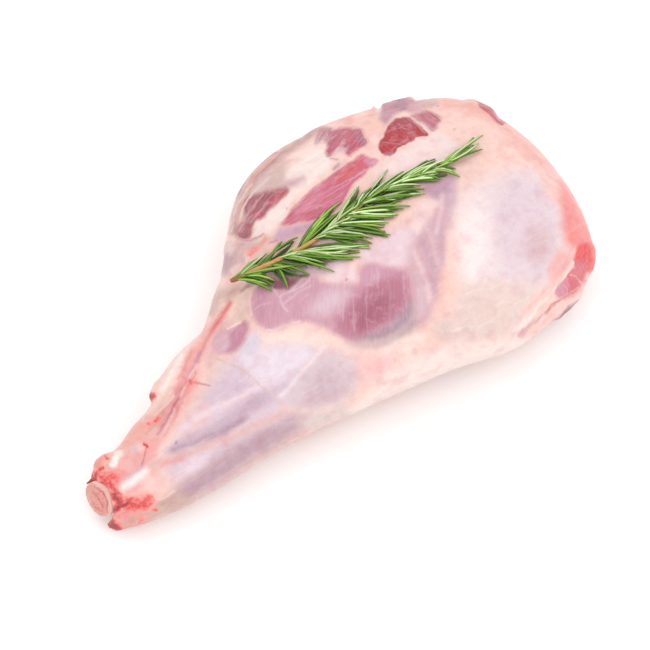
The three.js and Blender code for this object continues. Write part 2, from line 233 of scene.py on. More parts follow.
# Soft zones of fat, membrane and blush, with painted shade and painted highlights among them: colour,
# softness of the edge, and outline
zones = [
    ("inner thigh fat", "#DAB5AE", 24,
     [(236, 215), (246, 186), (268, 160), (288, 156), (290, 180), (262, 190), (250, 212)]),
    ("cream of the thigh", "#FDE4DC", 18,
     [(290, 156), (318, 140), (336, 150), (322, 160), (300, 176), (290, 180)]),
    ("beige hollow", "#D9BBB6", 14, [(250, 190), (262, 176), (284, 174), (290, 184), (266, 192)]),
    # painted shade: a darker band along the thigh's upper rim, where the surface turns away from the light
    ("thigh rim", "#B27E7C", 9,
     [(229, 236), (233, 210), (246, 184), (266, 160), (288, 146), (284, 155), (262, 174), (246, 196),
      (238, 214), (237, 234)]),
    # painted shade along the rim by the chump, as on the thigh rim
    ("rim by the chump", "#C99692", 8,
     [(280, 150), (312, 127), (322, 126), (326, 131), (312, 138), (294, 150), (284, 156)]),
    ("white fat band", "#FDEAE4", 10,
     [(283, 176), (300, 160), (322, 147), (336, 165), (318, 180), (306, 188), (290, 203), (280, 224),
      (262, 237), (248, 236), (256, 222), (268, 213), (284, 198), (292, 186)]),
    ("chump fat", "#FACABD", 8,
     [(316, 128), (345, 113), (374, 106), (382, 112), (389, 124), (380, 138), (372, 154), (366, 146),
      (368, 131), (346, 127)]),
    ("fat between the cuts", "#FDDAD3", 8, [(370, 132), (384, 128), (376, 144), (382, 158), (368, 155)]),
    ("fat by the cuts", "#FBE2DF", 16,
     [(367, 176), (386, 160), (418, 140), (440, 128), (468, 150), (420, 176)]),
    ("knee pink", "#DDB6B1", 12, [(228, 238), (262, 240), (276, 236), (262, 254), (236, 272), (222, 280)]),
    ("knee mauve", "#C096A2", 9,
     [(224, 246), (232, 242), (237, 252), (232, 266), (224, 276), (220, 274), (222, 258)]),
    ("knee lump", "#F9CFC9", 5, [(243, 252), (254, 250), (256, 259), (246, 263)]),
    ("knee pale ridge", "#F2D6D2", 5, [(228, 271), (239, 262), (242, 264), (232, 273)]),
    ("knee fat", "#F3CBC1", 9,
     [(219, 286), (240, 269), (262, 246), (282, 232), (300, 238), (268, 262), (242, 282), (226, 290)]),
    ("knee grey", "#CDA89B", 11, [(224, 296), (230, 286), (242, 284), (238, 294), (228, 304)]),
    ("cream by the stem", "#EFCABD", 10,
     [(232, 322), (236, 300), (246, 290), (252, 300), (248, 318), (238, 328)]),
    ("knee side", "#D8B3AD", 10, [(210, 318), (211, 304), (220, 288), (228, 290), (222, 306), (214, 322)]),
    ("heel side", "#FBD9CF", 10,
     [(158, 396), (166, 376), (190, 344), (206, 322), (216, 318), (194, 350), (176, 386)]),
    ("under the sprig", "#DDB9C6", 12,
     [(262, 262), (300, 250), (330, 240), (352, 262), (330, 276), (290, 280), (268, 276)]),
    ("thigh hem, outside", "#BFA5AE", 13,
     [(338, 342), (356, 346), (380, 344), (400, 332), (414, 314), (418, 296), (424, 304), (420, 324),
      (404, 342), (382, 353), (356, 354)]),
    ("fat over the thigh muscle", "#F8DCDF", 9,
     [(324, 278), (340, 262), (358, 266), (358, 284), (342, 282), (330, 284)]),
    ("above the thigh muscle", "#F2D6DE", 16,
     [(352, 258), (380, 236), (412, 222), (424, 240), (416, 268), (384, 270)]),
    ("striated side", "#DDB2BC", 16,
     [(404, 268), (416, 226), (436, 186), (456, 176), (457, 210), (448, 262), (438, 312), (420, 330),
      (412, 300)]),
    ("pale by the stripes", "#FBDCDA", 9,
     [(409, 218), (420, 202), (434, 197), (440, 202), (434, 216), (424, 226), (416, 238)]),
    # lilac muscle, darkened by a painted shadow of the sprig's tip
    ("lilac by the tip", "#D9B4C5", 12, [(441, 180), (455, 174), (458, 192), (453, 214), (445, 208)]),
    # painted shadow of the sprig's tip on the meat
    ("mauve under the tip", "#CBA2B4", 9,
     [(420, 184), (434, 178), (450, 176), (451, 190), (440, 202), (426, 196)]),
    ("peach line", "#FED5CA", 16, [(446, 226), (460, 236), (461, 300), (446, 338), (428, 336), (440, 292)]),
    ("rump top", "#FDD6CC", 22,
     [(432, 98), (476, 98), (508, 126), (545, 160), (556, 196), (500, 178), (452, 134)]),
    ("rump upper edge", "#F6B9AE", 12,
     [(436, 90), (470, 88), (514, 114), (544, 148), (564, 184), (550, 182), (524, 154), (494, 124),
      (466, 111), (440, 109)]),
    ("chump pale edge", "#DDB1AC", 8,
     [(404, 98), (430, 94), (440, 100), (436, 108), (414, 110), (404, 106)]),
    ("rump dome", "#F6E3E4", 34,
     [(458, 196), (484, 178), (520, 170), (548, 178), (562, 206), (562, 262), (540, 288), (496, 292),
      (462, 288)]),
    # painted highlight on the top of the rump's dome
    ("rump dome white", "#FFF0EF", 30,
     [(460, 204), (484, 200), (494, 225), (492, 262), (480, 284), (464, 284), (458, 250)]),
    ("rump dome lilac", "#EBD5DE", 36,
     [(494, 184), (520, 172), (548, 184), (560, 212), (558, 264), (530, 288), (500, 272), (490, 230)]),
    ("rump dome grey", "#E2C2C8", 22, [(526, 226), (550, 222), (552, 254), (538, 268), (524, 256)]),
    ("rump dome spot", "#E8CEDA", 12, [(498, 212), (507, 212), (507, 222), (499, 221)]),
    ("rump peach", "#FCCDC3", 14, [(540, 168), (558, 184), (564, 206), (552, 204), (544, 186)]),
    ("rump edge blush", "#F69391", 14,
     [(558, 176), (572, 190), (592, 228), (602, 254), (584, 250), (566, 248), (562, 222), (560, 200)]),
    ("blush above the cut", "#F5B5B0", 12,
     [(556, 250), (570, 250), (574, 262), (566, 276), (552, 286), (548, 270)]),
    ("edge below the cut", "#F07E7C", 6,
     [(588, 238), (597, 250), (598, 262), (592, 274), (584, 272), (587, 256)]),
    ("rim of the cut", "#F07470", 4, [(587, 241), (593, 246), (598, 258), (594, 266), (588, 262)]),
    ("flap below the cut", "#FBD3CD", 8,
     [(546, 312), (562, 300), (578, 290), (586, 284), (580, 298), (560, 316), (540, 332), (536, 322)]),
    ("lower rump fat", "#F0D7D0", 26,
     [(456, 296), (480, 280), (520, 284), (540, 290), (528, 326), (480, 344), (444, 346)]),
    ("fat under the thigh muscle", "#FEE4DB", 12,
     [(244, 336), (272, 333), (302, 325), (324, 329), (346, 345), (372, 352), (404, 336), (428, 330),
      (420, 352), (372, 362), (320, 350), (268, 346)]),
    ("blush beside the shank", "#FFD0CE", 18, [(352, 352), (386, 352), (396, 366), (384, 382), (362, 388)]),
    ("pink by the hem", "#FBD3CC", 14,
     [(330, 344), (352, 352), (376, 354), (372, 366), (348, 364), (330, 354)]),
    ("pale lower fat", "#FDE9E2", 16,
     [(334, 428), (348, 406), (372, 390), (398, 362), (430, 350), (522, 334), (540, 349), (440, 388)]),
    ("grey tint", "#E9D0CA", 18, [(430, 322), (452, 318), (456, 334), (438, 342)]),
    ("shank silverskin", "#E7CFDB", 22,
     [(228, 356), (280, 348), (330, 350), (356, 362), (352, 392), (318, 412), (262, 440), (206, 470),
      (168, 486), (164, 456), (190, 420), (214, 376)]),
    # painted sheen: a lighter patch where the shank's silverskin catches the light
    ("shank sheen", "#F4E4EE", 18,
     [(236, 352), (268, 346), (306, 346), (316, 356), (290, 378), (262, 384), (244, 368)]),
    ("shank lilac", "#E0C6D6", 16,
     [(206, 392), (232, 378), (256, 382), (250, 394), (222, 404), (204, 408)]),
    # painted highlight: a bluish-white patch of sheen on the silverskin
    ("pale lilac by the muscle", "#E5D8E4", 10,
     [(240, 346), (248, 332), (258, 334), (262, 344), (252, 354), (240, 355)]),
    ("hollow of the shank", "#E3CCD2", 22,
     [(286, 408), (298, 388), (312, 362), (334, 354), (354, 364), (356, 386), (336, 406), (308, 414)]),
    ("hollow, deep", "#DABFC9", 22,
     [(306, 400), (312, 380), (326, 366), (340, 372), (338, 392), (322, 404)]),
    ("shank pink", "#F2CBCE", 12, [(186, 436), (196, 404), (208, 400), (212, 412), (200, 430), (186, 444)]),
    ("mauve above the ridge", "#D2B6C5", 12,
     [(193, 447), (220, 432), (248, 416), (269, 404), (274, 395), (262, 390), (248, 397), (229, 412),
      (209, 426), (196, 437)]),
    # painted shade above the ridge of the shank
    ("mauve shade", "#C0A2B3", 8, [(194, 449), (212, 436), (238, 420), (252, 414), (234, 430), (206, 446)]),
    ("grey lilac", "#D6B8C7", 10, [(162, 454), (176, 440), (196, 430), (208, 430), (190, 444), (170, 456)]),
    ("lower mauve", "#C7A6B2", 20,
     [(166, 498), (190, 474), (218, 457), (246, 438), (274, 424), (300, 416), (314, 420), (290, 440),
      (256, 460), (226, 480), (196, 500), (172, 508)]),
    # painted shade: darker along the shank's lower edge, which faces away from the light above
    ("lower shank edge", "#D8BDBC", 14,
     [(146, 530), (190, 502), (262, 462), (330, 424), (340, 428), (240, 490), (150, 536)]),
    ("lower beige", "#E6D3CF", 18, [(296, 420), (322, 410), (350, 404), (344, 418), (310, 432)]),
    # painted highlight on the lower shank's silverskin
    ("lower sheen", "#F0DAE5", 11, [(178, 472), (190, 459), (208, 452), (208, 460), (192, 474)]),
    ("beside the vein", "#ECBDBE", 12,
     [(214, 322), (230, 318), (234, 330), (222, 348), (212, 364), (203, 366)]),
    ("vein flush", "#F8B4B0", 12,
     [(228, 308), (218, 328), (208, 346), (200, 368), (194, 392), (180, 416), (166, 438), (152, 450),
      (150, 440), (162, 414), (174, 392), (182, 370), (194, 350), (212, 322)]),
    ("vein flush, deep", "#EB9C9B", 9,
     [(184, 384), (194, 384), (180, 410), (166, 432), (156, 440), (158, 422), (170, 400)]),
    ("ankle pink", "#F6B9B4", 10,
     [(92, 470), (100, 450), (126, 438), (150, 416), (164, 404), (174, 412), (164, 432), (152, 458),
      (162, 480), (154, 506), (124, 528), (104, 520)]),
    ("ankle rose", "#F5AEAB", 12, [(136, 452), (150, 436), (160, 438), (156, 456), (144, 466), (132, 462)]),
    ("ankle light", "#FDD2CC", 12, [(140, 482), (152, 472), (166, 478), (160, 492), (146, 494)]),
    ("red below the gristle", "#F39E9B", 9,
     [(104, 476), (116, 468), (130, 472), (126, 480), (112, 488), (104, 484)]),
    ("tendon salmon", "#F6B4A9", 8,
     [(120, 446), (140, 424), (158, 408), (164, 414), (148, 434), (132, 450)]),
    ("lower ankle", "#EBA79D", 10,
     [(112, 532), (126, 514), (148, 508), (156, 512), (150, 522), (128, 536)]),
    ("ankle grey", "#D6B2A9", 10, [(152, 504), (168, 494), (192, 492), (196, 500), (160, 518), (148, 520)]),
    ("chump lilac", "#C8919F", 7,
     [(380, 112), (381, 103), (397, 100), (410, 101), (408, 110), (397, 113), (390, 121), (384, 126),
      (379, 119)]),
    ("chump purple", "#B27B90", 7, [(394, 108), (399, 102), (409, 102), (409, 109), (401, 111)]),
    ("chump pink", "#D9A4AD", 7, [(405, 113), (408, 102), (424, 100), (426, 108), (416, 112)]),
    ("strip veil", "#E6C6CC", 6, [(414, 118), (424, 118), (436, 121), (440, 126), (432, 131), (422, 124)]),
    ("inside round veil", "#D6ABBE", 10,
     [(271, 239), (280, 227), (298, 223), (316, 220), (310, 232), (292, 240), (276, 243)]),
    ("round end veil", "#D9B0B8", 10, [(278, 190), (288, 180), (300, 176), (308, 178), (294, 188)]),
]

# Bare muscle: colour, softness of the edge, how bare it is, run of the fibres in degrees, and outline
muscles = [
    ("thigh muscle", "#D9A3B3", 6.4, 0.22, 92,
     [(249, 300), (252, 288), (262, 280), (284, 274), (296, 278), (313, 274), (327, 284), (346, 282),
      (358, 284), (357, 273), (361, 264), (371, 261), (385, 266), (398, 268), (408, 266), (412, 281),
      (415, 296), (414, 311), (408, 324), (397, 333), (380, 341), (361, 344), (351, 342), (339, 337),
      (329, 330), (317, 324), (303, 321), (289, 322), (279, 327), (269, 331), (258, 326), (251, 317)]),
    ("small shank muscle", "#CC8CA2", 4.6, 0.15, 120,
     [(212, 345), (219, 333), (234, 329), (243, 319), (249, 322), (247, 336), (238, 350), (228, 355),
      (216, 353)]),
    ("loin muscle", "#BA3743", 1.6, 0.35, 42,
     [(377, 145), (383, 136), (386, 129), (391, 122), (398, 118), (406, 117), (413, 119), (419, 124),
      (426, 131), (430, 136), (423, 137), (417, 137), (412, 141), (405, 145), (398, 149), (393, 155),
      (387, 156), (380, 154)]),
    ("loin strip", "#C87A86", 3.6, 0.7, 40,
     [(409, 118), (413, 113), (421, 111), (430, 111), (438, 114), (442, 119), (440, 123), (437, 127),
      (434, 131), (429, 127), (422, 121), (415, 118)]),
    ("chump muscle", "#C45F75", 3.4, 0.68, 128,
     [(314, 144), (320, 129), (327, 128), (333, 131), (343, 127), (354, 127), (364, 130), (364, 135),
      (367, 141), (365, 146), (356, 152), (350, 157), (345, 154), (339, 151), (334, 155), (327, 157),
      (324, 152), (328, 145), (324, 141), (317, 143)]),
    ("inside round", "#D6738A", 2.8, 0.68, -35,
     [(279, 228), (288, 215), (296, 205), (306, 194), (325, 180), (341, 168), (355, 159), (361, 153),
      (368, 157), (379, 160), (377, 164), (369, 169), (366, 174), (357, 181), (349, 191), (343, 203),
      (332, 214), (314, 221), (297, 222)]),
    ("round end", "#AA5A63", 4, 0.4, -50,
     [(236, 239), (235, 233), (237, 227), (242, 220), (245, 212), (242, 206), (244, 199), (250, 195),
      (258, 193), (270, 190), (284, 187), (290, 189), (289, 193), (282, 198), (275, 205), (268, 210),
      (266, 217), (261, 220), (255, 221), (254, 228), (251, 235), (247, 240), (241, 241)]),
    ("loin cut red", "#EE5357", 3.4, 0.15, 75,
     [(572, 266), (576, 250), (580, 242), (589, 242), (590, 254), (590, 263), (585, 270), (576, 270)]),
    ("loin cut mauve", "#DC6676", 4.2, 0.2, 60,
     [(567, 272), (576, 265), (588, 264), (587, 275), (583, 285), (575, 292), (566, 298), (558, 299),
      (554, 294), (559, 284)]),
    ("loin cut lower", "#E2A0AC", 4, 0.2, 60,
     [(517, 335), (524, 328), (534, 321), (540, 318), (531, 327), (521, 339)]),
    ("flank sliver", "#A4707E", 2, 0.4, 60,
     [(550, 323), (557, 315), (565, 307), (572, 301), (578, 297), (581, 299), (577, 304), (568, 312),
      (557, 323)]),
    ("rump corner red", "#C84E58", 1.4, 0.9, 30,
     [(471, 98), (481, 100), (492, 107), (501, 114), (508, 121), (502, 126), (493, 120), (485, 115),
      (477, 108)]),
]

# Colours that lie on the muscles, a painted shadow among them: colour, softness of the edge, share, and
# outline
tints = [
    ("thigh shade", "#C17A8E", 20, 0.9,
     [(338, 334), (336, 318), (352, 298), (370, 282), (390, 274), (406, 274), (411, 298), (406, 314),
      (392, 324), (372, 335), (352, 339)]),
    ("cut pink", "#E8848C", 8, 0.6, [(576, 262), (588, 262), (585, 276), (574, 282), (568, 276)]),
    ("shank muscle veil", "#E6BEC8", 8, 0.75,
     [(210, 346), (218, 333), (228, 329), (231, 341), (227, 354), (214, 355)]),
    ("cut pale end", "#DC9AAE", 8, 0.8, [(553, 299), (558, 284), (567, 282), (570, 292), (562, 300)]),
    ("sliver pale", "#CBA3A8", 2.6, 0.7, [(562, 316), (568, 306), (576, 298), (580, 297), (571, 311)]),
    ("thigh deep", "#A5526C", 22, 0.6,
     [(352, 320), (360, 304), (380, 292), (394, 298), (390, 312), (376, 326), (360, 332)]),
    # painted shadow of the leaves on the thigh muscle
    ("thigh under the leaves", "#8E4C5A", 5, 0.95,
     [(266, 287), (269, 273), (284, 268), (302, 271), (304, 277), (294, 285), (282, 291)]),
    ("thigh left", "#CC90A6", 12, 0.6,
     [(252, 300), (256, 288), (268, 288), (266, 312), (262, 326), (254, 316)]),
    ("thigh veil", "#E8C9D5", 18, 0.85,
     [(306, 312), (318, 296), (332, 288), (350, 288), (344, 304), (328, 316)]),
    ("thigh upper veil", "#D8A3B9", 8, 0.7, [(362, 268), (378, 270), (392, 276), (372, 282), (362, 288)]),
    ("thigh hem", "#B098A4", 16, 0.9,
     [(342, 344), (364, 338), (382, 330), (398, 318), (409, 302), (415, 296), (418, 316), (404, 334),
      (382, 347), (358, 350)]),
    ("loin upper", "#B24B5B", 6, 0.7,
     [(388, 128), (396, 119), (408, 117), (420, 126), (408, 130), (396, 130)]),
    ("loin deep", "#BE2F3B", 6, 0.6,
     [(384, 144), (391, 134), (402, 136), (400, 144), (390, 152), (382, 152)]),
    ("loin grey end", "#B98A98", 3, 0.7, [(383, 153), (396, 151), (392, 157), (385, 157)]),
    ("chump left", "#C58C98", 8, 0.85, [(312, 145), (320, 129), (331, 130), (332, 140), (324, 146)]),
    ("chump middle", "#CB6170", 6, 0.6, [(340, 138), (348, 133), (358, 136), (356, 146), (344, 146)]),
    ("chump grey side", "#B77E92", 4, 0.7, [(354, 131), (362, 133), (366, 141), (362, 146), (358, 138)]),
    ("chump veil", "#E8C4CD", 5, 0.9,
     [(336, 148), (345, 146), (346, 154), (340, 158), (331, 158), (333, 153)]),
    ("round red", "#DC656C", 6, 0.9,
     [(334, 178), (346, 168), (360, 159), (369, 159), (362, 168), (348, 177), (338, 184)]),
    ("round pink", "#E093A6", 8, 0.7,
     [(292, 214), (306, 198), (322, 190), (322, 200), (306, 214), (294, 220)]),
    ("round low red", "#D4687D", 5, 0.7, [(298, 214), (316, 208), (330, 202), (326, 212), (306, 218)]),
    ("round pale end", "#DDA0B4", 4, 0.8, [(366, 158), (380, 160), (378, 165), (368, 164), (362, 160)]),
    ("round end red", "#CC5566", 4, 0.9,
     [(266, 206), (274, 196), (287, 189), (289, 192), (277, 200), (271, 206)]),
    ("round end spot", "#C24F60", 4, 0.8, [(250, 214), (258, 208), (264, 214), (262, 219), (252, 219)]),
    ("round end low", "#AF6470", 5, 0.8, [(236, 238), (239, 227), (246, 219), (246, 230), (241, 238)]),
    ("corner pink", "#DC9CAF", 3, 0.9, [(488, 107), (494, 110), (503, 117), (499, 120), (492, 115)]),
]

# Streaks of fat along the fibres: colour, width, softness, and path
streaks = [
    ("aitch line", "#FBEAF0", 1.4, 2.4,
     [(312, 274), (305, 284), (286, 293), (279, 298), (282, 304), (288, 311)]),
    ("cross line", "#F8E4EC", 1.2, 2.4, [(266, 279), (274, 289), (279, 298)]),
    ("long line", "#F8E4EC", 1.4, 2.6, [(310, 285), (296, 293), (284, 303)]),
    ("left line", "#F2DAE3", 1.2, 2.4, [(255, 308), (262, 304), (271, 302)]),
    ("aitch line, upper", "#F6E0E8", 1, 2.2, [(290, 291), (298, 283), (304, 277)]),
    ("first fibre", "#EFD0DC", 1, 2.4, [(345, 281), (344, 300), (342, 320)]),
    ("second fibre", "#EBC4D2", 1, 2.4, [(353, 299), (354, 332)]),
    ("third fibre", "#EFD0DC", 1, 2.4, [(377, 268), (378, 288)]),
    ("fourth fibre", "#E6BFCD", 1, 2.4, [(403, 278), (405, 292), (407, 308)]),
    ("fifth fibre", "#E3BAC9", 1, 2.6, [(367, 290), (366, 308), (368, 326)]),
    ("sixth fibre", "#E0B4C4", 1, 2.6, [(389, 284), (391, 302), (389, 318)]),
    ("round streak", "#EDB9C0", 0.8, 2.2, [(347, 171), (339, 177), (331, 184)]),
    ("round streak, long", "#EDB4BF", 0.9, 2.2, [(367, 170), (351, 179), (334, 187), (318, 196)]),
    ("round streak, near", "#E9AFBB", 0.8, 2.2, [(356, 178), (342, 187), (326, 196)]),
    ("round streak, low", "#EDBBC6", 1, 2.4, [(343, 193), (330, 199), (318, 207), (304, 212)]),
    ("round streak, left", "#EAB5C0", 0.8, 2.2, [(318, 186), (306, 196), (296, 207)]),
    ("round seam", "#F2CDD2", 1.6, 2.4, [(371, 167), (360, 173), (350, 180)]),
    ("chump streak", "#F0CFD0", 1.4, 2.2, [(333, 136), (327, 144), (322, 150)]),
    ("chump streak, first", "#F0CFD0", 1.2, 2, [(327, 134), (322, 141)]),
    ("chump streak, second", "#F0CFD0", 1.2, 2, [(322, 133), (317, 141)]),
    ("chump streak, low", "#F2D4D6", 1.6, 2.2, [(344, 143), (337, 149), (331, 156)]),
    ("chump streak, next", "#E2B6C0", 1.2, 2, [(336, 134), (331, 139)]),
    ("chump streak, long", "#E6BFC8", 1.6, 2.4, [(345, 140), (338, 146), (333, 153)]),
    ("chump streak, right", "#E6C0C9", 1.4, 2.4, [(350, 144), (346, 149)]),
    ("chump streak, left", "#DDB0B8", 1, 2, [(328, 131), (321, 139)]),
    ("loin marbling", "#EBC3C6", 0.7, 1.6, [(382, 142), (391, 143), (401, 144)]),
    ("loin marbling, upper", "#E0A9AE", 0.6, 1.6, [(388, 131), (397, 129), (404, 126), (410, 124)]),
    ("loin marbling, curl", "#E3B0B5", 0.7, 1.6, [(399, 124), (402, 129), (408, 128), (411, 132)]),
    ("loin marbling, low", "#E6B6BA", 0.7, 1.8, [(392, 150), (399, 145), (408, 138)]),
    ("loin parting", "#EFD0D4", 1.2, 1.8, [(411, 118), (418, 125), (425, 133)]),
    ("round end streak", "#F0CFCC", 1.6, 2.4, [(243, 220), (250, 210), (257, 201), (262, 194)]),
    ("round end streak, wide", "#EFD0CE", 2, 3, [(250, 222), (258, 212), (268, 202)]),
    ("round end streak, outer", "#E9C6C4", 1.4, 2.4, [(238, 230), (244, 221), (250, 216)]),
    ("round end streak, next", "#DDB2B5", 1, 2, [(256, 214), (264, 204), (272, 194)]),
    ("round end streak, low", "#D8A9AE", 0.8, 2, [(240, 232), (246, 222), (252, 214)]),
]

# Stains of blood: radius, how strong, and path
stains = [
    ("recess", 9, 1.1, [(89, 484), (92, 480), (95, 476)]),
    ("beside the recess", 10, 0.75, [(96, 474), (101, 477)]),
    ("collar", 10, 0.8, [(103, 479), (110, 484), (116, 490), (119, 497)]),
    ("collar, dark", 8, 1.15, [(115, 496), (119, 500), (120, 505), (114, 511)]),
    ("collar, crease", 4.6, 1.3, [(110, 515), (115, 510), (121, 506), (127, 504)]),
    ("below the gristle", 11, 0.65, [(102, 474), (109, 477), (116, 478)]),
    ("stub", 10, 1.25, [(110, 522), (113, 526), (117, 528)]),
    ("beside the stub", 10, 0.45, [(120, 515), (128, 511), (134, 510)]),
    ("splash", 15, 0.75, [(126, 504), (136, 505), (148, 501)]),
    ("splash, first clot", 7, 0.8, [(131, 500), (134, 501)]),
    ("splash, main clot", 8, 0.8, [(136, 507), (141, 505), (145, 508)]),
    ("splash, last clot", 7, 0.75, [(146, 500), (151, 497)]),
    ("tendon cut", 5, 1.25, [(152, 402), (157, 397)]),
    ("tendon cut, flush", 11, 0.3, [(154, 401), (160, 395)]),
    ("ankle lump", 4.4, 0.75, [(156, 422), (159, 419)]),
    ("ankle lump, flush", 9, 0.3, [(154, 422), (160, 419)]),
    ("lump dot", 3.4, 0.7, [(149, 425), (150, 425)]),
    ("ankle pit", 3.8, 0.9, [(144, 445), (147, 447)]),
    ("ankle pit, flush", 10, 0.3, [(143, 445), (149, 448)]),
    ("dash", 3.6, 0.65, [(153, 510), (158, 510)]),
    ("dash, low", 4.6, 0.55, [(139, 522), (143, 519)]),
    ("knee", 9, 0.55, [(250, 253), (255, 249)]),
    ("heel pit", 4, 0.9, [(100, 470), (103, 468)]),
    ("heel notch", 4, 0.7, [(105, 456), (108, 459)]),
    ("heel", 10, 0.4, [(98, 460), (106, 456)]),
    ("starburst", 10, 0.45, [(188, 384), (195, 382)]),
]
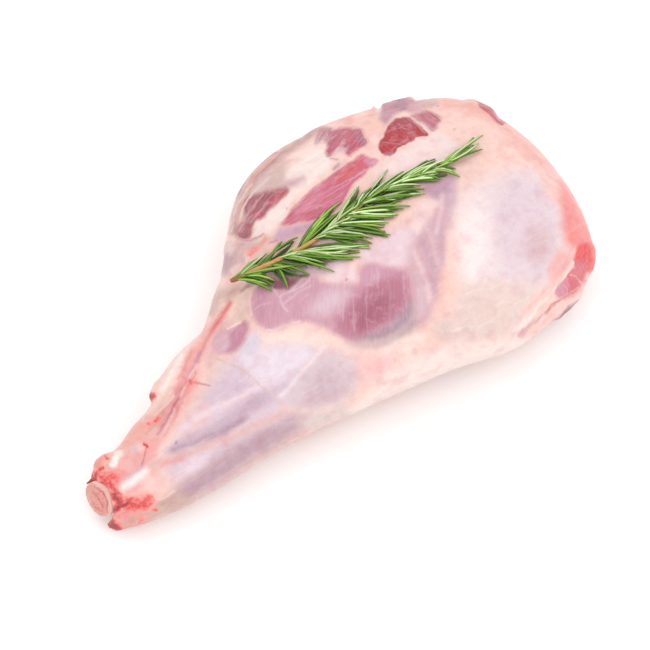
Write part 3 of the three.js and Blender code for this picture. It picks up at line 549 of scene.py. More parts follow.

# Lines, painted shadows and highlights among them: colour, width, softness, how far they stand up in mm,
# and path
lines = [
    ("ridge of the shank", "#EBC0BC", 7, 11, 0.8,
     [(150, 466), (160, 462), (181, 455), (202, 448), (223, 440), (245, 431), (265, 421), (286, 410)]),
    # painted shadow line above the ridge of the shank
    ("above the ridge, mauve", "#BF9AAC", 3.4, 7, -0.3,
     [(172, 450), (188, 445), (206, 438), (223, 430), (242, 420)]),
    # painted highlight along a second, higher ridge of the shank
    ("upper fascia", "#F5DEE5", 5, 8, 0.4,
     [(180, 430), (190, 422), (206, 412), (224, 404), (245, 394), (266, 382)]),
    ("pale fascia", "#FBEBEC", 2.6, 5.5, 0.5, [(280, 396), (292, 384), (304, 369), (321, 351)]),
    ("pale fascia, left", "#F3E2EA", 2, 6, 0.3, [(252, 378), (268, 368), (284, 360), (300, 350)]),
    ("beside the fascia, mauve", "#D6BFCC", 3, 10, -0.2, [(256, 400), (270, 393), (284, 385)]),
    ("fascia to the lower fat", "#F2D5D0", 5, 12, 0.3, [(280, 408), (306, 412), (332, 408)]),
    ("tan fascia", "#E2C9C0", 1, 1.8, 0.15,
     [(216, 358), (231, 365), (243, 369), (252, 377), (262, 388), (276, 395)]),
    ("vein, bright", "#E26A68", 3, 5, -0.2, [(231, 303), (225, 314), (219, 322), (213, 332)]),
    ("vein, pink", "#E29694", 2.4, 4, -0.2, [(213, 332), (207, 342), (202, 351), (198, 359)]),
    ("vein, mauve", "#D096A8", 3.4, 4.4, -0.2, [(201, 353), (193, 369), (188, 380), (182, 389)]),
    ("vein, dark", "#CC8094", 2.6, 3.6, -0.1, [(182, 389), (177, 400), (171, 411), (165, 422), (158, 434)]),
    ("vein, dark core", "#B8647C", 0.8, 2.4, 0, [(184, 386), (176, 402), (170, 413)]),
    ("vein branch", "#CE8790", 1.4, 2.4, -0.15, [(186, 386), (192, 383), (202, 384), (210, 385)]),
    ("branch, back", "#D08C96", 1.2, 2.4, -0.1, [(190, 383), (184, 378)]),
    ("branch, low", "#CB8490", 1.2, 2.4, -0.1, [(188, 385), (183, 388)]),
    ("branch, upper", "#D797A0", 1, 2.2, -0.1, [(191, 382), (195, 377), (196, 373)]),
    ("red beside the vein", "#F0A09E", 3, 7, 0.2,
     [(193, 352), (186, 366), (181, 384), (172, 402), (160, 424)]),
    ("pale beside the vein", "#FCD9D2", 2, 5, 0.4, [(176, 372), (166, 392), (158, 406), (146, 422)]),
    # the tendon's own pale colour, with a painted highlight along it
    ("tendon, white", "#FFF1EA", 3, 5, 0.5, [(184, 358), (174, 374), (165, 390), (160, 400)]),
    # partly the tendon's own colour, partly painted shadow beside it
    ("tendon, beige", "#EBCDC3", 2, 4.5, -0.1, [(172, 388), (164, 402), (158, 410), (152, 417)]),
    ("tendon, rose", "#E39A98", 1.4, 2.6, -0.1, [(178, 392), (168, 406), (160, 416), (150, 428)]),
    ("tendon, rose, next", "#E8A3A0", 1.2, 2.4, -0.1, [(184, 394), (176, 408), (168, 422), (160, 436)]),
    ("tendon, rose, outer", "#E59A9A", 1.2, 2.4, -0.1, [(192, 372), (184, 386), (176, 398)]),
    ("tendon, pale, inner", "#FAD3CD", 1.6, 4, 0.1, [(196, 366), (187, 384), (180, 396)]),
    ("tendon, pale, low", "#F8CEC8", 1.6, 4, 0.1, [(174, 410), (168, 424), (160, 438)]),
    ("tendon, pale, right", "#F8CFCB", 1.8, 4.5, 0.1, [(186, 400), (178, 418), (170, 432)]),
    ("tendon, upper rose", "#EBA19D", 1.4, 3, -0.1, [(192, 354), (186, 366), (178, 380)]),
    ("tendon, pale", "#F8DCD4", 1.4, 2.6, 0.3, [(174, 396), (166, 406), (157, 416)]),
    ("ankle crease", "#D5A598", 1.2, 2.2, -0.05, [(166, 412), (154, 427), (146, 436)]),
    ("ankle seam", "#CC7C86", 1.2, 2.2, -0.1, [(144, 443), (147, 449), (143, 456), (142, 467)]),
    ("seam end", "#DDB4C0", 2.4, 5, -0.2, [(142, 467), (132, 474), (122, 479)]),
    ("ridge blush", "#F0A5A2", 4, 8, 0, [(162, 465), (172, 462), (181, 458)]),
    ("blush streak", "#FBD9D2", 2, 8, 0, [(376, 386), (388, 383), (402, 380)]),
    ("thigh hem line", "#ECCBD4", 1, 2.6, 0.3, [(256, 327), (268, 332), (282, 326), (300, 321)]),
    ("left rim of the muscle", "#F0CFD0", 1.4, 3, 0.3, [(262, 280), (253, 287), (249, 298), (251, 314)]),
    ("first stria", "#D3ACBD", 4, 9, -0.3, [(421, 238), (430, 262), (434, 292)]),
    ("second stria", "#D3ACBD", 4, 9, -0.3, [(438, 226), (442, 244), (442, 264)]),
    ("third stria", "#E2C2CA", 4, 9, -0.3, [(416, 272), (422, 292), (422, 312)]),
    ("pale stria", "#F3D5D8", 3, 9, 0.1, [(414, 252), (426, 278), (430, 302)]),
    ("pale stria, right", "#F2D3D8", 3, 8, 0.1, [(442, 196), (441, 214), (436, 232)]),
    ("pale stria, upper", "#EBCAD0", 2, 8, 0.1, [(420, 214), (432, 240), (438, 262)]),
    ("chump fold", "#9A3038", 1.2, 1.6, -0.2, [(361, 134), (364, 137), (366, 142)]),
    ("chump fold lip", "#F7A79B", 1.6, 2, 0.3, [(363, 132), (367, 137), (368, 142)]),
    ("round end hem", "#C4939C", 1.4, 2.4, -0.1,
     [(235, 237), (240, 240), (247, 241), (258, 237), (264, 234)]),
    ("knee red", "#F39A8C", 3, 6, 0.2, [(249, 256), (258, 248), (266, 238)]),
    ("knee dash", "#D98F9C", 1.4, 2, 0, [(270, 243), (278, 240)]),
    ("rim red", "#EF9E92", 2, 3, 0, [(246, 190), (256, 174), (268, 162), (277, 155)]),
    ("rim dark", "#9A4A54", 1.6, 2, 0, [(252, 172), (262, 162), (270, 156), (276, 152)]),
    ("rim dark, lower", "#9A6A72", 1.6, 2.4, 0, [(236, 198), (243, 184), (252, 173)]),
    ("rim stripe", "#DDA598", 1.6, 3, 0, [(236, 222), (240, 204), (248, 190), (256, 180)]),
    ("rim stripe, pale", "#EBD0CC", 1.4, 3, 0.2, [(232, 232), (236, 208), (244, 194), (252, 184)]),
    ("rim stripe, inner", "#EBD3D0", 1.2, 3, 0.2, [(240, 216), (247, 200), (256, 190), (270, 178)]),
    ("loin cut ridge", "#FFEDE6", 3.6, 6, 0.9, [(513, 331), (528, 320), (538, 305), (544, 297)]),
    ("loin cut ridge, upper", "#FDE2DB", 2.6, 6, 0.6, [(544, 297), (556, 285), (565, 274), (572, 264)]),
    ("loin cut fold", "#E06E70", 1.8, 3, -0.3,
     [(578, 288), (572, 293), (566, 297), (559, 299), (553, 305), (546, 312)]),
    ("loin cut fold end", "#DC9AA2", 1.2, 2.6, -0.2, [(546, 312), (538, 319), (530, 326), (522, 336)]),
    ("loin edge red", "#E45158", 1.4, 2.2, -0.1, [(587, 244), (587, 254), (586, 261)]),
    ("loin seam", "#EFA0A8", 1, 2.4, 0.1, [(570, 275), (576, 277), (581, 283)]),
    ("loin seam, low", "#E9A3AE", 1, 2.4, 0.1, [(563, 285), (568, 289), (567, 296)]),
    ("blush by the ridge", "#F9C2BB", 3, 7, 0, [(524, 312), (534, 303), (546, 290), (556, 280)]),
    ("ankle white ridge", "#FFF8F5", 7.5, 9, 1.0, [(119, 491), (127, 485), (136, 478), (146, 471)]),
    ("ankle line", "#F7D6CB", 1.6, 2.4, 0.4, [(151, 488), (152, 495), (156, 500), (163, 498), (174, 492)]),
    ("chump hem", "#C99BAC", 1.6, 3, 0, [(331, 158), (338, 160)]),
    # painted shadow in the knee's fold
    ("knee fold", "#B08074", 2.4, 5, -0.5, [(254, 282), (248, 286), (241, 291)]),
    ("flap edge", "#FBDBD0", 1.2, 2.2, 0.1,
     [(360, 115), (368, 112), (374, 108), (377, 111), (381, 110), (382, 104), (390, 103)]),
    ("chump rim, rose", "#F2A9A0", 3, 6, 0.2, [(330, 123), (341, 120), (350, 118)]),
    # painted highlight along the knee's edge
    ("knee edge light", "#FBE4DC", 1.4, 2.6, 0.2, [(240, 322), (234, 326), (228, 329)]),
    ("knee crease", "#C7A5A5", 1, 2.4, -0.2, [(233, 247), (238, 246), (244, 245)]),
    ("chump dash", "#CB9BAC", 2.4, 3, 0, [(334, 169), (340, 164)]),
    ("film edge", "#F7E3DC", 0.9, 2, 0.08, [(462, 296), (476, 290), (492, 288), (510, 280)]),
    ("film edge, low", "#F7E3DC", 0.9, 2, 0.08, [(452, 332), (464, 326), (478, 328), (492, 320)]),
    ("film edge, mid", "#F6E2DC", 0.9, 2, 0.08, [(494, 306), (506, 302), (516, 304), (528, 298)]),
    ("film edge, upper", "#F8D6D2", 0.9, 2, 0.2, [(492, 190), (502, 186), (510, 188)]),
]

# Spots, a painted highlight among them: colour, centre, radius, softness, and how far they stand up in mm
spots = [
    ("gristle fat", "#FCE9DF", (119, 454), 4.5, 5, 0.3),
    ("gristle rim", "#F3A9A2", (113, 463), 7, 5, 0.2),
    ("gristle", "#FFF7F2", (114, 464), 4, 4.4, 0.6),
    ("gristle, upper", "#FFF7F2", (116, 459), 3.6, 4.4, 0.5),
    ("heel knob", "#EE9D94", (98, 464), 5, 4, 0.5),
    ("heel knob peach", "#F8BCA4", (106, 462), 3.6, 4, 0.3),
    ("heel scrap", "#EDBFB6", (103, 475), 4, 4, 0.6),
    ("pink knob", "#F8B0A8", (117, 514), 6, 4, 0.5),
    # painted highlight on the pink knob
    ("pink knob light", "#FFDCD3", (118, 512), 2.4, 3, 0.2),
    ("collar scrap", "#D9A7A6", (128, 502), 3, 3, 0.4),
    ("ankle lump", "#F2B7B4", (150, 421), 4, 4, 0.6),
    ("ankle pale lump", "#F5D0CE", (140, 448), 4.6, 5, 0.5),
    ("ankle pearl", "#EBC0C4", (133, 450), 4, 4, 0.3),
    ("shank dot", "#B5677D", (176, 442), 1.2, 1.6, 0),
    ("branch", "#A85A70", (190, 382), 2, 3, -0.3),
    ("fat dot", "#B27B74", (438, 106), 0.8, 1.4, 0),
    ("fat dot, next", "#B98579", (455, 128), 0.8, 1.4, 0),
    ("muscle dot", "#D08A96", (346, 280), 1.2, 1.6, 0),
    ("fat dot, thigh", "#D9A29C", (268, 172), 0.8, 1.6, 0),
    ("fat dot, round", "#D9909A", (287, 209), 1, 1.6, 0),
    ("chump blush", "#F2A8A0", (349, 120), 5, 9, 0),
    ("flap blush", "#F3AFA4", (371, 112), 4, 7, 0),
    ("flap", "#F9C6BA", (375, 107), 2.4, 2, 2.0),
    ("knee step", "#E9C8C2", (229, 248), 7, 9, 0.8),
    ("knee nodule", "#FDEAE4", (249, 257), 1.6, 2.4, 0.5),
    ("knee nodule, low", "#FCE6DF", (246, 261), 1.2, 2.2, 0.4),
]

meat = {
    "tone": 0.84,             # with this the studio's light gives the marks the photograph's colours
    # the mesh
    "voxel": 3.25 * mm,       # the even mesh, before what shows is made finer
    "broadSmoothing": 14,     # passes that take the facets off the thigh and rump
    "endSmoothing": 3,        # and off the small forms at the shank end
    "endFrom": -120 * mm,     # x where the smoothing starts to ease off
    "endTo": -150 * mm,
    "lastSmoothing": 2,
    "fineFrom": -158 * mm,    # x past which the mesh is made finer once more
    "shownFacing": -0.05,     # how far a face turns to the photograph's camera to count as shown
    # pixels from an edge or a line within which the mesh is made finer, and how soft that edge may be
    "finer": [(1.6, 3.6), (0.7, 2.4)],
    "smallStain": 5,          # pixels of radius, below which a stain is made finer too
    "smallStainReach": 0.8,   # share of its radius that is
    # the marks
    "seenFacing": (-0.5, -0.02),                      # the marks fade out where the leg turns away this far
    "edgeWander": ((7 * mm, 1.4), (2.2 * mm, 0.7)),   # size of the wander, and pixels that edges move
    "fibreRun": -32,          # degrees, where no muscle is bare
    "muscleReach": 8,         # pixels that a muscle's colour goes on under the fat
    "sharpMuscle": 3,         # pixels of softness, up to which it ends there at once
    "edgeSpread": 3,          # times a muscle's softness, over which it goes from covered to bare
    "muscleDip": 0.35,        # mm that bare muscle lies below the fat
    "dipEdge": (0.4, 0.7),    # from how far inside a muscle it dips, and where it is down
    "streakShare": 0.42,      # how far a streak covers the muscle
    "lineShare": 0.9,         # and a line
    # the finish all round: size of its patches, and mm that the surface rises and sinks with them
    "broadPatch": 42 * mm,
    "patch": 15 * mm,
    "patchRise": 0.12,
    "lump": 24 * mm,
    "lumpRise": 0.35,
    "fat": "#FBD5CB",
    "fatFar": "#F7D0C4",
    # blushes where the broad patches stand high, and silverskin where they lie low: share, how far the
    # smaller patches break them up, and where they start and are full
    "patches": [("#F3B8AE", 1, 0.7, 0.35, 0.1, 0.45), ("#DDC3CD", -1, 0.8, 0.3, 0.12, 0.4)],
    # the material
    # size of each noise's lumps, and its settings
    "noises": {
        "grain": (1.2 * mm, {"Detail": 3}),
        "clots": (2.6 * mm, {"Detail": 4}),
        "lumps": (4.5 * mm, {"Detail": 3}),
        "film": (7 * mm, {"Detail": 5, "Roughness": 0.6, "Distortion": 0.6}),
        "blotches": (11 * mm, {"Detail": 4}),
    },
    # thickness and length of the fibres, and of the bundles that they lie in
    "fibres": {"strands": (1.2 * mm, 12 * mm), "bundles": (3.6 * mm, 26 * mm)},
    # tints of the fat: the noise that they follow, share, and ramp
    "fatTints": [
        ("blotches", 0.5, [(0.32, "#F2DEE0"), (0.5, "#FFFFFF"), (0.7, "#FFFAF4")]),
        ("film", 0.22, [(0.34, "#ECD6D8"), (0.52, "#FFFFFF"), (0.7, "#FFFFFF")]),
    ],
    # fine threads where the film's noise passes this value, how near, how strong, and their colour
    "threads": (0.53, 0.012, 0.1, "#FFF1EC"),
    # veils over the fat: the noise, from and to, share, blend and colour
    "fatVeils": [
        ("bundles", 0.55, 0.75, 0.08, "MIX", "#FFF0EE"),
        ("lumps", 0.54, 0.75, 0.08, "MULTIPLY", "#F2A8A2"),
    ],
    "darkStrands": [(0.3, "#DDC3C8"), (0.52, "#FFFFFF"), (0.75, "#FFFFFF")],
    # veils over the muscle: the noise, from and to, share, colour, and whether only bare muscle has it
    "muscleVeils": [
        ("strands", 0.52, 0.75, 0.2, "#F0CCD4", True),
        ("film", 0.5, 0.72, 0.2, "#EBC6CF", False),
    ],
    # the muscle's edge: how far the bundles and the film move it, and where it starts and is full
    "frayed": [("bundles", 0.28), ("film", 0.34)],
    "edge": (0.55, 1.07),
    # blood: how far clots break it up and the least of it, where its colours start and end, the amount from
    # which it covers all that it can, how much that is, and its colours from thin to thick
    "clotted": (1.6, 0.2),
    "bloodDepth": (0.1, 1.35),
    "bloodShare": (0.8, 0.92),
    "blood": [(0.0, "#F6ADA6"), (0.28, "#EE7F7A"), (0.5, "#DE5553"), (0.72, "#BC393F"), (0.95, "#8E2A36")],
    # relief: shares of the noises, and its height and strength
    "grainRelief": 0.4,
    "relief": [("lumps", 0.5), ("film", 0.5)],
    "strandRelief": 0.4,
    "reliefHeight": 0.9 * mm,
    "reliefStrength": 0.6,
    "roughness": (0.34, 0.52),    # on the low and the high lumps
}

# Flesh left round the sawn end of the bone, in mm: middle, and half length, width and height
scraps = [
    ("recess flesh", (-181, -46, 24), (5, 4.4, 6)),
    ("thin flap", (-188, -48.6, 21.6), (6.4, 2.3, 2.5)),
    ("pink knob", (-182.5, -78.8, 17.5), (6.5, 5, 6)),
    ("collar, inner side", (-182.5, -49.5, 28), (5, 4, 3.8)),
    ("collar, above", (-181, -55, 31), (6, 4.5, 3.6)),
    ("collar, crest", (-180, -61, 32), (6, 4.5, 3.2)),
    ("collar, shin side", (-180, -68, 30.5), (6, 4.5, 3.6)),
    ("collar, low", (-181, -73.5, 26.5), (6, 3.6, 4.2)),
]

# Swellings that bring the outline to the photograph's: reach in pixels, push in mm, and path
swellings = [
    ("heel side", 26, 2.2, [(214, 300), (204, 326), (184, 352), (166, 376), (154, 396), (136, 426)]),
    ("flap spike", 3, 2.4, [(374, 109), (374, 107)]),
    ("chump corner", 6, 3.6, [(385, 106), (398, 103), (410, 102)]),
    ("chump rim", 14, 1.6, [(312, 128), (340, 119), (366, 111)]),
    ("rump corner", 14, 3.4, [(474, 101), (490, 109)]),
    ("flank of the rump", 14, 2.4, [(580, 300), (562, 317)]),
    ("corner of the cut", 14, 1.8, [(596, 252), (596, 266)]),
    ("tendon flap", 8, 1.8, [(155, 396), (160, 386)]),
    ("tendon notch", 5, -1.6, [(149, 406), (152, 404)]),
]


def rounded(points, closed):
    # cuts the corners of a given outline or path
    points = np.array(points, float)
    for _ in range(2):
        following = np.roll(points, -1, 0) if closed else points[1:]
        leading = points if closed else points[:-1]
        cut = np.stack([leading * 0.75 + following * 0.25, leading * 0.25 + following * 0.75], 1)
        cut = cut.reshape(-1, 2)
        points = cut if closed else np.concatenate([points[:1], cut, points[-1:]])
    return points


def distanceTo(places, path, closed):
    # pixels from a path, and for a closed one negative inside
    ends = np.roll(path, -1, 0) if closed else path[1:]
    starts = path if closed else path[:-1]
    nearest = np.full(len(places), np.inf)
    inside = np.zeros(len(places), bool)
    x, y = places[:, 0], places[:, 1]
    for (ax, ay), (bx, by) in zip(starts, ends):
        dx, dy = bx - ax, by - ay
        t = np.clip(((x - ax) * dx + (y - ay) * dy) / max(dx * dx + dy * dy, 1e-9), 0, 1)
        nearest = np.minimum(nearest, np.hypot(x - ax - t * dx, y - ay - t * dy))
        if closed and ay != by:
            crossing = (ay > y) != (by > y)
            inside ^= crossing & (x < ax + (y - ay) / (by - ay) * dx)
    return np.where(inside, -nearest, nearest) if closed else nearest


def fromPath(places, points):
    return distanceTo(places, rounded(points, False), False)


def markCover(places, points, soft, closed=True, width=0.0):
    # how far a mark covers each place, from 0 to 1
    shape = rounded(points, closed)
    cover = np.zeros(len(places))
    low, high = shape.min(0) - width - soft, shape.max(0) + width + soft
    near = ((places > low) & (places < high)).all(1)
    distance = distanceTo(places[near], shape, closed) - width / 2
    cover[near] = smoothStep(-distance, -soft / 2, soft / 2)
    return cover


def noiseAt(points, size, offset=0.0):
    shift = Vector((offset, offset * 1.7, offset * 0.6))
    return np.array([noise.noise(Vector(p) / size + shift) for p in points])


def nearDetail(places, reach, softest):
    # the places close to a small stain, or to a muscle's edge, line or streak no softer than softest
    near = np.zeros(len(places), bool)
    for name, colour, soft, bare, degrees, outline in muscles:
        if soft <= softest:
            near |= np.abs(distanceTo(places, rounded(outline, True), True)) < reach
    for name, colour, width, soft, *rest in lines + streaks:
        if soft <= softest:
            near |= fromPath(places, rest[-1]) < reach
    for name, radius, strength, path in stains:
        if radius < meat["smallStain"]:
            near |= fromPath(places, path) < radius * meat["smallStainReach"]
    return near


def meatMesh():
    # an even mesh over the CAD form, smoothed, then made finer where it shows
    shape = bmeshOf(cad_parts["leg_meat"].data)
    bmesh.ops.remove_doubles(shape, verts=shape.verts, dist=0.001 * mm)
    for name, middle, half in scraps:
        place = Matrix.Translation(Vector(middle) * mm) @ Matrix.Diagonal(Vector(half) * mm).to_4x4()
        bmesh.ops.create_icosphere(shape, subdivisions=3, radius=1, matrix=place)
    piece = newObject("legMeat", meshOf(shape, "legMeat"))
    remesh = piece.modifiers.new("even mesh", "REMESH")
    remesh.mode = "VOXEL"
    remesh.voxel_size = meat["voxel"]
    evaluated = piece.evaluated_get(bpy.context.evaluated_depsgraph_get())
    piece.data = bpy.data.meshes.new_from_object(evaluated)
    piece.modifiers.clear()

    shape = bmeshOf(piece.data)
    smoothing = {"factor": 0.5, "use_axis_x": True, "use_axis_y": True, "use_axis_z": True}
    for step in range(meat["broadSmoothing"]):
        ease = step / meat["broadSmoothing"]
        limit = meat["endTo"] + (meat["endFrom"] - meat["endTo"]) * ease
        moved = [v for v in shape.verts if step < meat["endSmoothing"] or v.co.x > limit]
        bmesh.ops.smooth_vert(shape, verts=moved, **smoothing)
    back = viewAxes()[0]
    shape.normal_update()
    shown = {e for f in shape.faces if f.normal.dot(back) > meat["shownFacing"] for e in f.edges}
    bmesh.ops.subdivide_edges(shape, edges=list(shown), cuts=1, use_grid_fill=True)
    shape.normal_update()
    for turn, (reach, softest) in enumerate(meat["finer"]):
        facing = [f for f in shape.faces if f.normal.dot(back) > 0]
        middles = np.array([f.calc_center_median() for f in facing])
        wanted = nearDetail(pictured(middles), reach, softest)
        if turn == 0:
            wanted |= middles[:, 0] < meat["fineFrom"]
        fine = {e for f, chosen in zip(facing, wanted) if chosen for e in f.edges}
        bmesh.ops.subdivide_edges(shape, edges=list(fine), cuts=1, use_grid_fill=True)
        shape.normal_update()
        print("made finer:", len(shape.faces), "faces")
    for _ in range(meat["lastSmoothing"]):
        bmesh.ops.smooth_vert(shape, verts=shape.verts, **smoothing)
    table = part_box("leg_meat")[0].z
    for v in shape.verts:
        v.co.z = max(v.co.z, table)
    bmesh.ops.triangulate(shape, faces=[f for f in shape.faces if len(f.verts) > 4])
    piece.data = meshOf(shape, "legMeat")
    return piece


def mixedIn(colours, cover, hexColour):
    return colours + (np.array(linearColour(hexColour)[:3]) - colours) * cover[:, None]


def evenColour(points, hexColour):
    return np.tile(np.array(linearColour(hexColour)[:3]), (len(points), 1))


def wandered(points):
    # where points fall in the photograph, with a wander so that no edge is drawn too clean
    places = pictured(points)
    for size, pixels in meat["edgeWander"]:
        places = places + pixels * np.stack([noiseAt(points, size), noiseAt(points, size, 31.0)], -1)
    return places


def layMarks(places, seen, colours, areas=(), lines=(), spots=()):
    # lays flat marks over colours, and says how far a line covers each place and how many mm it lifts it
    covered, lift = np.zeros(len(places)), np.zeros(len(places))
    for name, colour, soft, outline in areas:
        colours = mixedIn(colours, markCover(places, outline, soft) * seen, colour)
    raised = [(colour, height, markCover(places, path, soft, False, width))
              for name, colour, width, soft, height, path in lines]
    for name, colour, centre, radius, soft, height in spots:
        distance = np.hypot(*(places - np.array(centre)).T) - radius
        raised.append((colour, height, smoothStep(-distance, -soft / 2, soft / 2)))
    for colour, height, cover in raised:
        colours = mixedIn(colours, cover * seen, colour)
        covered = np.maximum(covered, cover * seen)
        lift += height * (cover * seen)
    return colours, covered, lift


def layMuscles(places, seen):
    # the muscles' colours, how far a place lies inside one (0.5 at its edge), how bare, and its fibres' run
    reach = meat["muscleReach"]
    colours = evenColour(places, muscles[0][1])
    inside, bareness = np.zeros(len(places)), np.zeros(len(places))
    run = np.full(len(places), math.radians(meat["fibreRun"]))
    for name, colour, soft, bare, degrees, outline in muscles:
        shape = rounded(outline, True)
        near = ((places > shape.min(0) - reach - 1) & (places < shape.max(0) + reach + 1)).all(1)
        distance = np.full(len(places), np.inf)
        distance[near] = distanceTo(places[near], shape, True)
        close = distance < reach
        sharp = soft <= meat["sharpMuscle"]
        colours = mixedIn(colours, close * 1.0 if sharp else smoothStep(-distance, -reach, 0), colour)
        run = np.where(close, math.radians(degrees), run)
        bareness = np.where(close, bare, bareness)
        inside = np.maximum(inside, np.clip(0.5 - distance / (meat["edgeSpread"] * soft), 0, 1))
    for name, colour, soft, share, outline in tints:
        colours = mixedIn(colours, share * markCover(places, outline, soft), colour)
    for name, colour, width, soft, path in streaks:
        cover = meat["streakShare"] * markCover(places, path, soft, False, width)
        colours = mixedIn(colours, cover, colour)
    return colours, inside * seen, bareness, run


def layStains(places, seen):
    blood = np.zeros(len(places))
    for name, radius, strength, path in stains:
        blood = np.maximum(blood, strength * smoothStep(-fromPath(places, path), -radius, 0))
    return blood * seen


def paintMeat(piece):
    mesh = piece.data
    points = readVectors(mesh.vertices, "co")
    normals = readVectors(mesh.vertex_normals, "vector")
    seen = smoothStep(normals @ np.array(viewAxes()[0]), *meat["seenFacing"])

    # the finish all round: fat with blushes and windows of silverskin
    broad = noiseAt(points, meat["broadPatch"], 3.0)
    middling = noiseAt(points, meat["patch"], 8.0)
    colours = evenColour(points, meat["fatFar"])
    for colour, side, share, broken, low, high in meat["patches"]:
        cover = share * smoothStep(side * broad + broken * middling, low, high)
        colours = mixedIn(colours, cover, colour)
    colours = mixedIn(colours, seen, meat["fat"])
    places = wandered(points)
    flesh, covered, lift = layMarks(places, seen, colours, zones, lines, spots)
    muscle, inside, bareness, run = layMuscles(places, seen)
    inside *= 1 - meat["lineShare"] * covered
    lift += meat["patchRise"] * middling + meat["lumpRise"] * noiseAt(points, meat["lump"], 5.0)
    lift -= meat["muscleDip"] * smoothStep(inside, *meat["dipEdge"])
    push = sum(height * smoothStep(-fromPath(places, path), -reach, 0)
               for name, reach, height, path in swellings)

    # fibres run in the plane of the photograph
    flat = pictured(points) * view["distance"] * view["sensor"] / view["lens"] / view["picture"]
    along = flat[:, 0] * np.cos(run) + flat[:, 1] * np.sin(run)
    across = flat[:, 1] * np.cos(run) - flat[:, 0] * np.sin(run)

    points += normals * ((lift + push) * mm)[:, None]
    points[:, 2] = np.maximum(points[:, 2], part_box("leg_meat")[0].z)
    mesh.vertices.foreach_set("co", points.astype(np.float32).ravel())
    # the flesh and muscle colours carry the marks' painted shade and painted highlights
    storeValues(mesh, "flesh", "FLOAT_COLOR", flesh * meat["tone"])
    storeValues(mesh, "muscle", "FLOAT_COLOR", muscle * meat["tone"])
    storeValues(mesh, "inside", "FLOAT", inside)
    storeValues(mesh, "bare", "FLOAT", bareness)
    storeValues(mesh, "blood", "FLOAT", layStains(places, seen))
    storeValues(mesh, "fibres", "FLOAT_VECTOR", np.stack([across, along, np.zeros(len(points))], -1))
    mesh.update()


